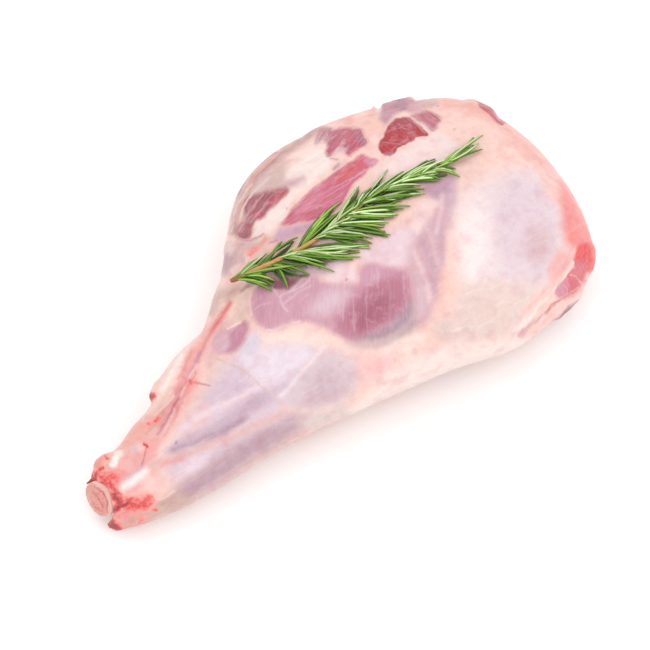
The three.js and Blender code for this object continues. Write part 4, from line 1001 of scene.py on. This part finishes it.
def meatMaterial():
    # raw lamb, skinned and trimmed: moist fat and membrane, so a soft sheen over colour that shines through
    skin = newMaterial("raw lamb, trimmed")
    flesh, muscle = (addNode(skin, "Attribute", attribute_name=name) for name in ("flesh", "muscle"))
    inside, bare, blood = (addNode(skin, "Attribute", attribute_name=name).outputs["Fac"]
                           for name in ("inside", "bare", "blood"))
    fibres = addNode(skin, "Attribute", attribute_name="fibres").outputs["Vector"]
    place = addNode(skin, "TexCoord").outputs["Object"]
    shading = {"data_type": "RGBA", "blend_type": "MULTIPLY"}
    eased = {"interpolation_type": "SMOOTHSTEP"}
    noises = {name: addNode(skin, "TexNoise", {"Vector": place, "Scale": 1 / size, **more})
              for name, (size, more) in meat["noises"].items()}
    for name, (thickness, length) in meat["fibres"].items():
        run = addNode(skin, "Mapping", {"Vector": fibres, "Scale": (1 / thickness, 1 / length, 1)})
        noises[name] = addNode(skin, "TexNoise", {"Vector": run, "Scale": 1.0, "Detail": 3},
                               noise_dimensions="2D")

    # fat: blotches, wisps of film, thin pale threads, paler bundles and a flush on the lumps
    fat = flesh
    for name, share, stops in meat["fatTints"]:
        tint = rampStops(addNode(skin, "ValToRGB", {"Fac": noises[name]}), stops)
        fat = addNode(skin, "Mix", {"Factor_Float": share, "A_Color": fat, "B_Color": tint}, **shading)
    value, nearness, share, colour = meat["threads"]
    thread = addNode(skin, "Math", {"Value": noises["film"], "Value_001": value, "Value_002": nearness},
                     operation="COMPARE")
    for amount in (noises["blotches"], share):
        thread = addNode(skin, "Math", {"Value": thread, "Value_001": amount}, operation="MULTIPLY")
    fat = addNode(skin, "Mix", {"Factor_Float": thread, "A_Color": fat, "B_Color": linearColour(colour)},
                  data_type="RGBA")
    for name, low, high, share, blend, colour in meat["fatVeils"]:
        veil = addNode(skin, "MapRange", {"Value": noises[name], "From Min": low, "From Max": high,
                                          "To Max": share}, **eased)
        fat = addNode(skin, "Mix", {"Factor_Float": veil, "A_Color": fat, "B_Color": linearColour(colour)},
                      data_type="RGBA", blend_type=blend)

    # muscle: fibres dark and pale, fainter where the film over them is thick
    dark = rampStops(addNode(skin, "ValToRGB", {"Fac": noises["strands"]}), meat["darkStrands"])
    muscle = addNode(skin, "Mix", {"Factor_Float": bare, "A_Color": muscle, "B_Color": dark}, **shading)
    for name, low, high, share, colour, onlyBare in meat["muscleVeils"]:
        veil = addNode(skin, "MapRange", {"Value": noises[name], "From Min": low, "From Max": high,
                                          "To Max": share}, **eased)
        if onlyBare:
            veil = addNode(skin, "Math", {"Value": veil, "Value_001": bare}, operation="MULTIPLY")
        muscle = addNode(skin, "Mix", {"Factor_Float": veil, "A_Color": muscle,
                                       "B_Color": linearColour(colour)}, data_type="RGBA")

    # the edge between them is frayed along the fibres, and broken by the film
    for name, amount in meat["frayed"]:
        inside = addNode(skin, "Math", {"Value": noises[name], "Value_001": amount, "Value_002": inside},
                         operation="MULTIPLY_ADD")
    low, high = meat["edge"]
    muscleShare = addNode(skin, "MapRange", {"Value": inside, "From Min": low, "From Max": high}, **eased)
    colour = addNode(skin, "Mix", {"Factor_Float": muscleShare, "A_Color": fat, "B_Color": muscle},
                     data_type="RGBA")

    # blood: thin and pink at the edge of a stain, dark where it stands
    breaking, least = meat["clotted"]
    clots = addNode(skin, "Math", {"Value": noises["clots"], "Value_001": breaking, "Value_002": least},
                    operation="MULTIPLY_ADD")
    stain = addNode(skin, "Math", {"Value": clots, "Value_001": blood}, operation="MULTIPLY")
    low, high = meat["bloodDepth"]
    depth = addNode(skin, "MapRange", {"Value": stain, "From Min": low, "From Max": high})
    bloodColour = rampStops(addNode(skin, "ValToRGB", {"Fac": depth}), meat["blood"])
    high, share = meat["bloodShare"]
    bloodShare = addNode(skin, "MapRange", {"Value": stain, "From Min": 0, "From Max": high,
                                            "To Max": share}, **eased)
    colour = addNode(skin, "Mix", {"Factor_Float": bloodShare, "A_Color": colour, "B_Color": bloodColour},
                     data_type="RGBA")

    # relief: lumps in the fat, fibres in the muscle
    strandRise = addNode(skin, "Math", {"Value": noises["strands"], "Value_001": muscleShare},
                         operation="MULTIPLY")
    height = addNode(skin, "Math", {"Value": noises["grain"], "Value_001": meat["grainRelief"]},
                     operation="MULTIPLY")
    rises = [(noises[name], amount) for name, amount in meat["relief"]]
    for rise, amount in rises + [(strandRise, meat["strandRelief"])]:
        height = addNode(skin, "Math", {"Value": rise, "Value_001": amount, "Value_002": height},
                         operation="MULTIPLY_ADD")
    bump = addNode(skin, "Bump", {"Height": height, "Strength": meat["reliefStrength"],
                                  "Distance": meat["reliefHeight"]})
    low, high = meat["roughness"]
    damp = addNode(skin, "MapRange", {"Value": noises["lumps"], "From Min": 0.3, "From Max": 0.7,
                                      "To Min": low, "To Max": high})
    surface = addNode(skin, "BsdfPrincipled", {
        "Base Color": colour,
        "Normal": bump,
        "Roughness": damp,
        "IOR": 1.4,
        "Subsurface Weight": 0.25,
        "Subsurface Radius": (1.0, 0.45, 0.35),
        "Subsurface Scale": 1.4 * mm,
        "Coat Weight": 0.2,
        "Coat Roughness": 0.22,
        "Coat IOR": 1.35,
    })
    addNode(skin, "OutputMaterial", {"Surface": surface})
    return skin


legMeat = meatMesh()
print("meat mesh:", triangles(legMeat), "triangles")
paintMeat(legMeat)
finishPiece(legMeat, meatMaterial(), "leg_meat")
print("meat finished")


# Pieces drawn out ring by ring

def drawTube(shape, rings, corners, place):
    # a capped circle drawn out into a closed tube, each vertex set where place(ring, corner) says
    ringLayer = shape.verts.layers.int.get("ring") or shape.verts.layers.int.new("ring")
    cornerLayer = shape.verts.layers.int.get("corner") or shape.verts.layers.int.new("corner")
    made = list(bmesh.ops.create_circle(shape, cap_ends=True, segments=corners, radius=mm)["verts"])
    for corner, vertex in enumerate(made):
        vertex[cornerLayer] = corner
    edges = list(dict.fromkeys(e for v in made for e in v.link_edges))
    for ring in range(1, rings):
        drawn = bmesh.ops.extrude_edge_only(shape, edges=edges)["geom"]
        edges = [g for g in drawn if isinstance(g, bmesh.types.BMEdge)]
        for vertex in (g for g in drawn if isinstance(g, bmesh.types.BMVert)):
            vertex[ringLayer] = ring
            made.append(vertex)
    bmesh.ops.contextual_create(shape, geom=edges)
    for vertex in made:
        vertex.co = place(vertex[ringLayer], vertex[cornerLayer])
    # extruding leaves the faces in another order each run
    shape.verts.index_update()
    count = len(shape.verts)
    shape.faces.sort(key=lambda f: min(v.index for v in f.verts) * count + max(v.index for v in f.verts))
    bmesh.ops.recalc_face_normals(shape, faces=list({f for v in made for f in v.link_faces}))
    return made


frameShift = Vector((0.15, -0.25, 0))     # mm from the numbers of the bone and the stem to the frame


# The shank bone

bone = {
    # middle, half width and half height along it, mm
    "stations": [
        (-191.3, -62, 22, 12.4, 9.8), (-185, -61.5, 20.5, 12.2, 10), (-173, -60, 20, 10, 8.8),
        (-154, -58, 22, 7.6, 7), (-109, -50, 28, 6.6, 6.4), (-59, -38, 37, 8.2, 7.6),
        (-27, -30, 42, 14, 13), (-9, -26, 44, 15.5, 13.5),
    ],
    "headEnd": 3,             # mm, x where the head of the bone ends in the meat
    "headRounding": 14,
    "faceTilt": 26,           # degrees that the sawn face looks up
    "faceTurn": 8,            # and towards the shin side
    "leanReach": 30,          # mm of the shaft that lean with the face
    "rim": 0.9,               # mm that the saw's edge is rounded
    "corners": 56,
    "faceRings": 16,
    "sideRings": 70,
    "sawnFull": 0.86,         # share of the face out to which it is all sawn bone
    "sawnRelief": 0.25,       # mm that the sawn face is pitted
    "sawnPits": 1.6 * mm,
    "colour": "#FFDCD0",
    "face": "#EFA9A0",
    "pores": 1.1 * mm,
    "poreTints": [(0.3, "#DDAAA4"), (0.5, "#FFFFFF"), (0.75, "#FFF6EE")],
    "poreDepth": 0.3 * mm,
}

# Lines on the sawn face, as on the meat
boneLines = [
    ("shaft rim", "#F0C6BA", 3, 3, 0.0, [(96, 485), (103, 488), (108, 495), (110, 503), (109, 511)]),
    ("marrow line", "#D8696C", 1.3, 2, -0.15, [(98, 489), (103, 494), (106, 499), (108, 506), (107, 511)]),
    ("inner streak", "#DC7A7C", 1.6, 3, -0.1, [(92, 493), (97, 497), (101, 502), (103, 508)]),
    ("low streak", "#DF8482", 1.8, 3.4, 0.0, [(91, 503), (95, 508), (100, 511)]),
    ("left pale", "#EBBFAF", 2, 3, 0.0, [(88, 492), (88, 499), (91, 506), (96, 513)]),
]


def between(stations, key, x):
    # a value between stations, by the cubic that the frame's own form follows
    i = 0
    while i < len(stations) - 2 and x > stations[i + 1][0]:
        i += 1
    a, b = stations[i], stations[i + 1]
    before, after = stations[max(i - 1, 0)], stations[min(i + 2, len(stations) - 1)]
    span = b[0] - a[0]
    t = min(max((x - a[0]) / span, 0), 1)
    slopeA = (b[key] - before[key]) / (b[0] - before[0]) * span
    slopeB = (after[key] - a[key]) / (after[0] - a[0]) * span
    return ((2 * t ** 3 - 3 * t ** 2 + 1) * a[key] + (t ** 3 - 2 * t ** 2 + t) * slopeA
            + (3 * t ** 2 - 2 * t ** 3) * b[key] + (t ** 3 - t ** 2) * slopeB)


def fullness(distance, reach):
    left = 1 - min(max(distance / reach, 0), 1)
    return math.sqrt(1 - left * left)


def bonePlace(ring, corner):
    first, faceRings = bone["stations"][0][0], bone["faceRings"]
    if ring < faceRings:
        full = (ring + 1) / faceRings
        x = first + bone["rim"] * (1 - math.sqrt(1 - full * full))
    else:
        share = (ring + 1 - faceRings) / (bone["sideRings"] + 0.5)
        x = first + bone["rim"] + (bone["headEnd"] - first - bone["rim"]) * share ** 1.5
        full = fullness(bone["headEnd"] - x, bone["headRounding"])
    angle = 2 * math.pi * corner / bone["corners"]
    across = between(bone["stations"], 3, x) * full * math.cos(angle)
    rise = between(bone["stations"], 4, x) * full * math.sin(angle)
    tilt, turn = (math.tan(math.radians(bone[key])) for key in ("faceTilt", "faceTurn"))
    lean = (rise * tilt - across * turn) * max(0, 1 - (x - first) / bone["leanReach"])
    y = between(bone["stations"], 1, x) + across
    z = between(bone["stations"], 2, x) + rise
    return (Vector((x + lean, y, z)) + frameShift) * mm


def boneMesh():
    shape = bmesh.new()
    drawTube(shape, bone["faceRings"] + bone["sideRings"], bone["corners"], bonePlace)
    return newObject("shankBone", meshOf(shape, "shankBone"))


def paintBone(piece):
    mesh = piece.data
    points = readVectors(mesh.vertices, "co")
    normals = readVectors(mesh.vertex_normals, "vector")
    ring = np.array([a.value for a in mesh.attributes["ring"].data])
    onFace = smoothStep(-ring / bone["faceRings"], -1, -bone["sawnFull"])
    colours = mixedIn(evenColour(points, bone["colour"]), onFace, bone["face"])
    colours, covered, lift = layMarks(wandered(points), 1.0, colours, lines=boneLines)
    lift -= bone["sawnRelief"] * onFace * (1 + noiseAt(points, bone["sawnPits"]))
    points += normals * (lift * mm)[:, None]
    mesh.vertices.foreach_set("co", points.astype(np.float32).ravel())
    storeValues(mesh, "boneColour", "FLOAT_COLOR", colours * meat["tone"])
    storeValues(mesh, "sawn", "FLOAT", onFace)
    mesh.update()


def boneMaterial():
    # fresh bone, sawn: a matt, porous face with marrow in it, and a smooth damp shaft
    fresh = newMaterial("fresh bone, sawn")
    colour = addNode(fresh, "Attribute", attribute_name="boneColour")
    sawn = addNode(fresh, "Attribute", attribute_name="sawn").outputs["Fac"]
    place = addNode(fresh, "TexCoord").outputs["Object"]
    pores = addNode(fresh, "TexNoise", {"Vector": place, "Scale": 1 / bone["pores"], "Detail": 3})
    tint = rampStops(addNode(fresh, "ValToRGB", {"Fac": pores}), bone["poreTints"])
    dotted = addNode(fresh, "Mix", {"Factor_Float": sawn, "A_Color": colour, "B_Color": tint},
                     data_type="RGBA", blend_type="MULTIPLY")
    bump = addNode(fresh, "Bump", {"Height": pores, "Strength": 0.5, "Distance": bone["poreDepth"]})
    surface = addNode(fresh, "BsdfPrincipled", {
        "Base Color": dotted,
        "Normal": bump,
        "Roughness": 0.5,
        "IOR": 1.5,
        "Subsurface Weight": 0.2,
        "Subsurface Radius": (1.0, 0.6, 0.45),
        "Subsurface Scale": 1.5 * mm,
    })
    addNode(fresh, "OutputMaterial", {"Surface": surface})
    return fresh


shankBone = boneMesh()
paintBone(shankBone)
finishPiece(shankBone, boneMaterial(), "shank_bone")
print("bone finished:", triangles(shankBone), "triangles")


# The rosemary

# The needles that the photograph shows, whorl by whorl: how far above the stem's middle they start in mm,
# how many shaded ones lie under each, the place on the stem, and the tips in the picture's pixels
whorls = [
    ("cut end, above", 1.8, 1, (240, 274), [(267, 253), (262, 258)]),
    ("cut end, long", 1.9, 1, (240, 274), [(307, 264), (262, 264)]),
    ("cut end, over the stem", 1.9, 0, (238, 277), [(259, 268), (256, 272), (262, 267)]),
    ("cut end, below", 0.5, 1, (241, 274),
     [(275, 281), (272, 291), (266, 274), (264, 278), (269, 285), (274, 286)]),
    ("first, above", 0.5, 1, (260, 263), [(298, 237), (294, 241)]),
    ("first, short", 0.2, 0, (272, 257), [(282, 241)]),
    ("first, below", 0, 1, (276, 264),
     [(288, 289), (301, 277), (310, 275), (307, 267), (285, 283), (296, 272)]),
    ("second, below", 1.6, 1, (286, 256), [(322, 269), (335, 272), (333, 261), (324, 263)]),
    ("second, level", 1.8, 2, (288, 254), [(337, 256), (361, 257), (354, 259), (348, 254), (342, 259)]),
    ("second, over the stem", 1.9, 0, (285, 257), [(299, 249), (300, 252), (330, 250)]),
    ("third, below", 0.6, 2, (297, 250), [(371, 248), (369, 245), (360, 250), (373, 243), (350, 250)]),
    ("third, above", 0.3, 2, (303, 246),
     [(327, 209), (333, 208), (323, 214), (342, 201), (340, 211), (336, 214)]),
    ("fourth, below", 1.6, 2, (322, 236), [(369, 236), (372, 243), (373, 238), (367, 240), (352, 240)]),
    ("fourth, pale", 1.6, 1, (322, 236), [(372, 226), (366, 229), (356, 232)]),
    ("fourth, above", 0.8, 2, (326, 232), [(352, 205), (346, 210), (350, 214)]),
    ("fifth, below", 1.7, 2, (338, 227),
     [(391, 235), (386, 233), (374, 216), (389, 222), (384, 227), (376, 230)]),
    ("fourth, over the stem", 1.9, 0, (323, 235), [(348, 219), (344, 224), (350, 224)]),
    ("fifth, over the stem", 1.8, 1, (334, 229), [(362, 212), (368, 208), (358, 218)]),
    ("fifth, above", 1.2, 2, (338, 226), [(359, 186), (363, 192), (352, 198), (366, 196), (370, 202)]),
    ("sixth, below", 1.7, 2, (352, 217),
     [(399, 214), (394, 217), (384, 219), (411, 206), (404, 209), (392, 210)]),
    ("sixth, above", 1.4, 2, (357, 209), [(388, 169), (380, 184), (374, 190), (384, 192)]),
    ("seventh, below", 1.4, 2, (368, 203),
     [(405, 198), (398, 200), (426, 193), (418, 195), (412, 190), (400, 194)]),
    ("seventh, above", 1.6, 2, (370, 201), [(411, 172), (398, 176), (404, 171), (402, 182)]),
    ("eighth, below", 1.4, 2, (386, 188), [(421, 185), (411, 181), (425, 189), (414, 186), (424, 179)]),
    ("eighth, above", 1.6, 2, (384, 189), [(432, 168), (420, 166), (414, 168), (424, 172)]),
    ("ninth, above", 1.6, 1, (402, 175), [(436, 160), (428, 160), (446, 160), (440, 164)]),
    ("ninth, below", 1.2, 1, (404, 176), [(441, 179), (436, 178), (431, 176), (440, 173)]),
    ("tenth", 1.2, 1, (420, 168), [(453, 159), (454, 169), (448, 165), (446, 170)]),
    ("tenth, below", 0.8, 0, (436, 166), [(460, 177), (455, 173), (456, 169)]),
    ("tip", 0.8, 0, (447, 162),
     [(474, 145), (483, 135), (474, 137), (462, 148), (483, 149), (479, 143), (470, 147)]),
    ("tip, over the stem", 1.2, 0, (438, 166), [(462, 156), (458, 160)]),
]

sprig = {
    # the stem's middle, mm
    "stem": [
        (-48, 16, 64), (-27, 10.4, 72.5), (-1, 5.6, 81), (17.5, 5.6, 85.5), (40, 8.5, 89.5),
        (63, 11.5, 92), (82, 10, 93), (102, 7.5, 93.5), (120, 7.5, 94),
    ],
    "stemRadius": 1.7,
    "tipRadius": 0.7,
    "clearance": 0.9,         # mm under the stem's bark
    "stemCorners": 12,
    "stemRings": 90,
    "stemSteps": 200,         # steps in which the stem's length is measured
    "knots": 17,
    "knotSwell": 0.2,         # shares of the radius
    "barkSwell": 0.07,
    "cutEnd": 0.045,          # shares of the length: the dark cut end, and where the bark turns green
    "greenFrom": 0.5,
    "greenOver": 0.35,
    "width": 2.1,
    "thickness": 1.2,
    "lie": 0.45,              # mm between a needle and the meat
    "tipLie": 1.4,            # and at its tip
    "droop": 6,               # mm that a tip may hang below the needle's foot
    "arch": 2.2,              # mm that a needle bows up
    # shares along a needle, and its width there
    "needleRings": ((0, 0.45), (0.06, 0.66), (0.24, 0.92), (0.5, 1), (0.8, 0.9), (0.96, 0.62), (1, 0.22)),
    # the needle's section: across and up, as shares of its half width and its thickness
    "section": [(0, 0.3), (0.5, 0.5), (1, -0.1), (0, -0.42), (-1, -0.1), (-0.5, 0.5)],
    "seed": 4,
    "foot": (0.15, 0.6),      # shares of the stem's radius beside its middle, from a high and a low start
    "highStart": 1,           # mm
    "lowStart": 0.5,          # whorls that start no higher get the darker kinds, a painted shade
    # kinds of needle from a low start and from a higher one, and of those in their shade
    "lowKinds": ("green", "dark", "dark"),
    "highKinds": ("pale", "pale", "green", "dark"),
    "shadedKinds": ("shaded", "shaded", "dark"),
    # how needles vary: shares along the stem, mm higher or lower, share of the arch, mm of sideways bow,
    # radians of roll, share of the width, and lightness
    "alongSpread": (-0.03, 0.01),
    "riseSpread": (-0.2, 0.3),
    "archSpread": (0.4, 1.3),
    "bowSpread": 1.2,
    "rollSpread": 0.3,
    "widthSpread": (0.85, 1.1),
    "lightness": (0.8, 1.2),
    # and the shaded ones under them, where that differs
    "shadedAlong": (-0.02, 0.02),
    "shadedDrop": (0.6, 1.4),
    "shadedArch": (-1.5, 0.5),
    "shadedRoll": 0.4,
    "shadedWidth": 0.9,
    "shadedLength": (0.7, 0.96),
    "shadedTip": 2.6,         # pixels that the tips wander
    "tone": 0.94,             # as for the meat
    "bark": "#D9A45C",
    "barkDark": "#8A5A30",
    "barkGreen": "#8FA858",
    "needleTip": "#7E8A45",
    # round a needle's section, from its groove: back, edge, downy underside, edge, back; the groove's pale
    # colour is partly a painted highlight, the pale kind is a lit copy of the green one, and the dark and
    # shaded kinds are shaded copies: painted light and shade
    "pale": ["#E4F2C8", "#D2E6A2", "#75962C", "#BCCB85", "#648E1E", "#84AE38"],
    "green": ["#B6D270", "#8CB638", "#62901C", "#C9D790", "#568216", "#7AAA2C"],
    "dark": ["#86A040", "#568010", "#3D6206", "#C0CC80", "#365802", "#548210"],
    "shaded": ["#557A1A", "#385A08", "#2A4800", "#98A85C", "#284200", "#375A08"],
    "grain": 0.9 * mm,
    "grainTints": [(0.3, "#DDE2D0"), (0.55, "#FFFFFF"), (0.8, "#FFFFFF")],
    "grainDepth": 0.15 * mm,
}


def splinePlace(points, t):
    # a centripetal spline through points, as the frame's own stem and needles follow
    spans = len(points) - 1
    along = min(max(t, 0), 1) * spans
    i = min(int(along), spans - 1)
    w = along - i
    p1, p2 = points[i], points[i + 1]
    p0 = points[i - 1] if i > 0 else p1 * 2 - p2
    p3 = points[i + 2] if i + 2 <= spans else p2 * 2 - p1
    g0, g1, g2 = (max((b - a).length ** 0.5, 1e-5) for a, b in ((p0, p1), (p1, p2), (p2, p3)))
    slopeA = ((p1 - p0) / g0 - (p2 - p0) / (g0 + g1) + (p2 - p1) / g1) * g1
    slopeB = ((p2 - p1) / g1 - (p3 - p1) / (g1 + g2) + (p3 - p2) / g2) * g1
    return (p1 * (2 * w ** 3 - 3 * w ** 2 + 1) + slopeA * (w ** 3 - 2 * w ** 2 + w)
            + p2 * (3 * w ** 2 - 2 * w ** 3) + slopeB * (w ** 3 - w ** 2))


class Stem:
    # the stem's middle line, measured along its length
    def __init__(self, points, steps):
        self.points, self.steps = points, steps
        trail = [splinePlace(points, i / steps) for i in range(steps + 1)]
        self.lengths = [0.0]
        for a, b in zip(trail, trail[1:]):
            self.lengths.append(self.lengths[-1] + (b - a).length)

    def turnAt(self, share):
        wanted = min(max(share, 0), 1) * self.lengths[-1]
        i = min(int(np.searchsorted(self.lengths, wanted, side="right")) - 1, self.steps - 1)
        return (i + (wanted - self.lengths[i]) / (self.lengths[i + 1] - self.lengths[i])) / self.steps

    def at(self, share):
        return splinePlace(self.points, self.turnAt(share))

    def heading(self, share):
        t = self.turnAt(share)
        behind, ahead = (splinePlace(self.points, min(max(t + step, 0), 1)) for step in (-1e-4, 1e-4))
        return (ahead - behind).normalized()

    def side(self, share):
        return self.heading(share).cross(skyward).normalized()


def meshTree(mesh):
    shape = bmeshOf(mesh)
    tree = BVHTree.FromBMesh(shape)
    shape.free()
    return tree


def surfaceHeight(tree, place):
    # height in mm of a surface under a place
    hit = tree.ray_cast(Vector((place.x * mm, place.y * mm, 0.3)), -skyward)[0]
    return hit.z / mm if hit else 0


def needleTemplate():
    shape = bmesh.new()
    rings, corners = len(sprig["needleRings"]), len(sprig["section"])
    drawTube(shape, rings, corners, lambda ring, corner: Vector((ring, corner, 0)))
    return meshOf(shape, "needle template")


def sprigMesh():
    chance = random.Random(sprig["seed"])
    under = meshTree(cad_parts["leg_meat"].data)
    over = meshTree(legMeat.data)
    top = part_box("rosemary_sprig")[1].z / mm - sprig["thickness"] / 2

    line = []
    for place in sprig["stem"]:
        middle = Vector(place) + frameShift
        middle.z = max(middle.z, surfaceHeight(under, middle) + sprig["stemRadius"] + sprig["clearance"])
        line.append(middle)
    stem = Stem(line, sprig["stemSteps"])
    stemShares = np.linspace(0, 1, sprig["stemSteps"] + 1)
    stemPlaces = pictured(np.array([stem.at(share) * mm for share in stemShares]))

    shape = bmesh.new()
    colour = shape.verts.layers.float_color.new("leafColour")
    lastRing = sprig["stemRings"] - 1

    def stemPlace(ring, corner):
        share = ring / lastRing
        radius = sprig["stemRadius"] + (sprig["tipRadius"] - sprig["stemRadius"]) * share
        knot = math.sin(share * sprig["knots"] * math.pi) ** 8
        radius *= 1 + sprig["knotSwell"] * knot + sprig["barkSwell"] * chance.uniform(-1, 1)
        if ring in (0, lastRing):
            radius *= 0.8
        along, side = stem.heading(share), stem.side(share)
        angle = 2 * math.pi * corner / sprig["stemCorners"]
        outward = side * math.cos(angle) + side.cross(along) * math.sin(angle)
        return (stem.at(share) + outward * radius) * mm

    bark, dark, green = (Vector(linearColour(sprig[key])) for key in ("bark", "barkDark", "barkGreen"))
    for vertex in drawTube(shape, sprig["stemRings"], sprig["stemCorners"], stemPlace):
        share = vertex[shape.verts.layers.int["ring"]] / lastRing
        tone = bark.lerp(dark, chance.uniform(0, 0.45) if share > sprig["cutEnd"] else 0.9)
        greenness = (share - sprig["greenFrom"]) / sprig["greenOver"]
        vertex[colour] = tone.lerp(green, min(max(greenness, 0), 1))

    template = needleTemplate()
    ringLayer, cornerLayer = shape.verts.layers.int["ring"], shape.verts.layers.int["corner"]
    tipTone = Vector(linearColour(sprig["needleTip"]))

    def addNeedle(share, rise, tip, arch, bow, roll, kind, width):
        # from the stem's near side to a tip in the picture, bowed up and sideways, and never into the meat
        middle, side = stem.at(share), stem.side(share)
        if (unpictured(tip, middle.z) - middle).dot(side) < 0:
            side = -side
        high, low = sprig["foot"]
        foot = high if rise > sprig["highStart"] else low
        start = middle + side * (sprig["stemRadius"] * foot) + Vector((0, 0, rise))
        end = unpictured(tip, start.z)
        for _ in range(4):
            lowest = max(start.z - sprig["droop"], surfaceHeight(over, end) + sprig["tipLie"])
            end = unpictured(tip, min(lowest, top))
        reach = end - start
        across = Vector((-reach.y, reach.x, 0)).normalized()
        middles = []
        for s in (0, 0.25, 0.5, 0.75, 1):
            swing = 4 * s * (1 - s)
            middle = start + reach * s + across * (bow * swing) + Vector((0, 0, arch * swing))
            lie = surfaceHeight(over, middle) + sprig["lie"] + sprig["thickness"] / 2
            middle.z = min(max(middle.z, lie), top)
            middles.append(middle)
        across, upward = (across * math.cos(roll) + skyward * math.sin(roll),
                          skyward * math.cos(roll) - across * math.sin(roll))
        light = chance.uniform(*sprig["lightness"])
        tones = [Vector(linearColour(c)) * (light * sprig["tone"]) for c in sprig[kind]]
        before = len(shape.verts)
        shape.from_mesh(template)
        shape.verts.ensure_lookup_table()
        for vertex in shape.verts[before:]:
            s, full = sprig["needleRings"][vertex[ringLayer]]
            a, b = sprig["section"][vertex[cornerLayer]]
            place = splinePlace(middles, s) + across * (a * full * width / 2)
            vertex.co = (place + upward * (b * full * sprig["thickness"])) * mm
            tone = tones[vertex[cornerLayer]].lerp(tipTone, 0.5 if s > 0.95 else 0)
            tone[3] = 1
            vertex[colour] = tone

    for name, rise, shadedOnes, base, tips in whorls:
        share = stemShares[np.hypot(*(stemPlaces - np.array(base)).T).argmin()]
        kinds = sprig["lowKinds" if rise <= sprig["lowStart"] else "highKinds"]
        for tip in tips:
            for _ in range(shadedOnes):
                length = chance.uniform(*sprig["shadedLength"])
                shifted = [b + (t - b) * length + chance.gauss(0, sprig["shadedTip"])
                           for b, t in zip(base, tip)]
                addNeedle(share + chance.uniform(*sprig["shadedAlong"]),
                          rise - chance.uniform(*sprig["shadedDrop"]), shifted,
                          chance.uniform(*sprig["shadedArch"]), chance.gauss(0, sprig["bowSpread"]),
                          chance.gauss(0, sprig["shadedRoll"]), chance.choice(sprig["shadedKinds"]),
                          sprig["width"] * sprig["shadedWidth"])
            kind = chance.choice(kinds)
            addNeedle(max(share + chance.uniform(*sprig["alongSpread"]), 0.01),
                      rise + chance.uniform(*sprig["riseSpread"]), tip,
                      sprig["arch"] * chance.uniform(*sprig["archSpread"]),
                      chance.gauss(0, sprig["bowSpread"]), chance.gauss(0, sprig["rollSpread"]), kind,
                      sprig["width"] * chance.uniform(*sprig["widthSpread"]))
    bmesh.ops.recalc_face_normals(shape, faces=shape.faces)
    bpy.data.meshes.remove(template)
    return newObject("rosemarySprig", meshOf(shape, "rosemarySprig"))


def leafMaterial():
    # fresh rosemary, cut: waxy needles, dark above and downy pale below, on a woody stem
    leaf = newMaterial("fresh rosemary, cut")
    colour = addNode(leaf, "Attribute", attribute_name="leafColour")
    place = addNode(leaf, "TexCoord").outputs["Object"]
    grain = addNode(leaf, "TexNoise", {"Vector": place, "Scale": 1 / sprig["grain"], "Detail": 2})
    tint = rampStops(addNode(leaf, "ValToRGB", {"Fac": grain}), sprig["grainTints"])
    mixed = addNode(leaf, "Mix", {"Factor_Float": 0.8, "A_Color": colour, "B_Color": tint},
                    data_type="RGBA", blend_type="MULTIPLY")
    bump = addNode(leaf, "Bump", {"Height": grain, "Strength": 0.35, "Distance": sprig["grainDepth"]})
    surface = addNode(leaf, "BsdfPrincipled", {
        "Base Color": mixed,
        "Normal": bump,
        "Roughness": 0.42,
        "IOR": 1.45,
        "Coat Weight": 0.15,
        "Coat Roughness": 0.25,
    })
    addNode(leaf, "OutputMaterial", {"Surface": surface})
    return leaf


rosemarySprig = sprigMesh()
finishPiece(rosemarySprig, leafMaterial(), "rosemary_sprig")
print("sprig finished:", triangles(rosemarySprig), "triangles")
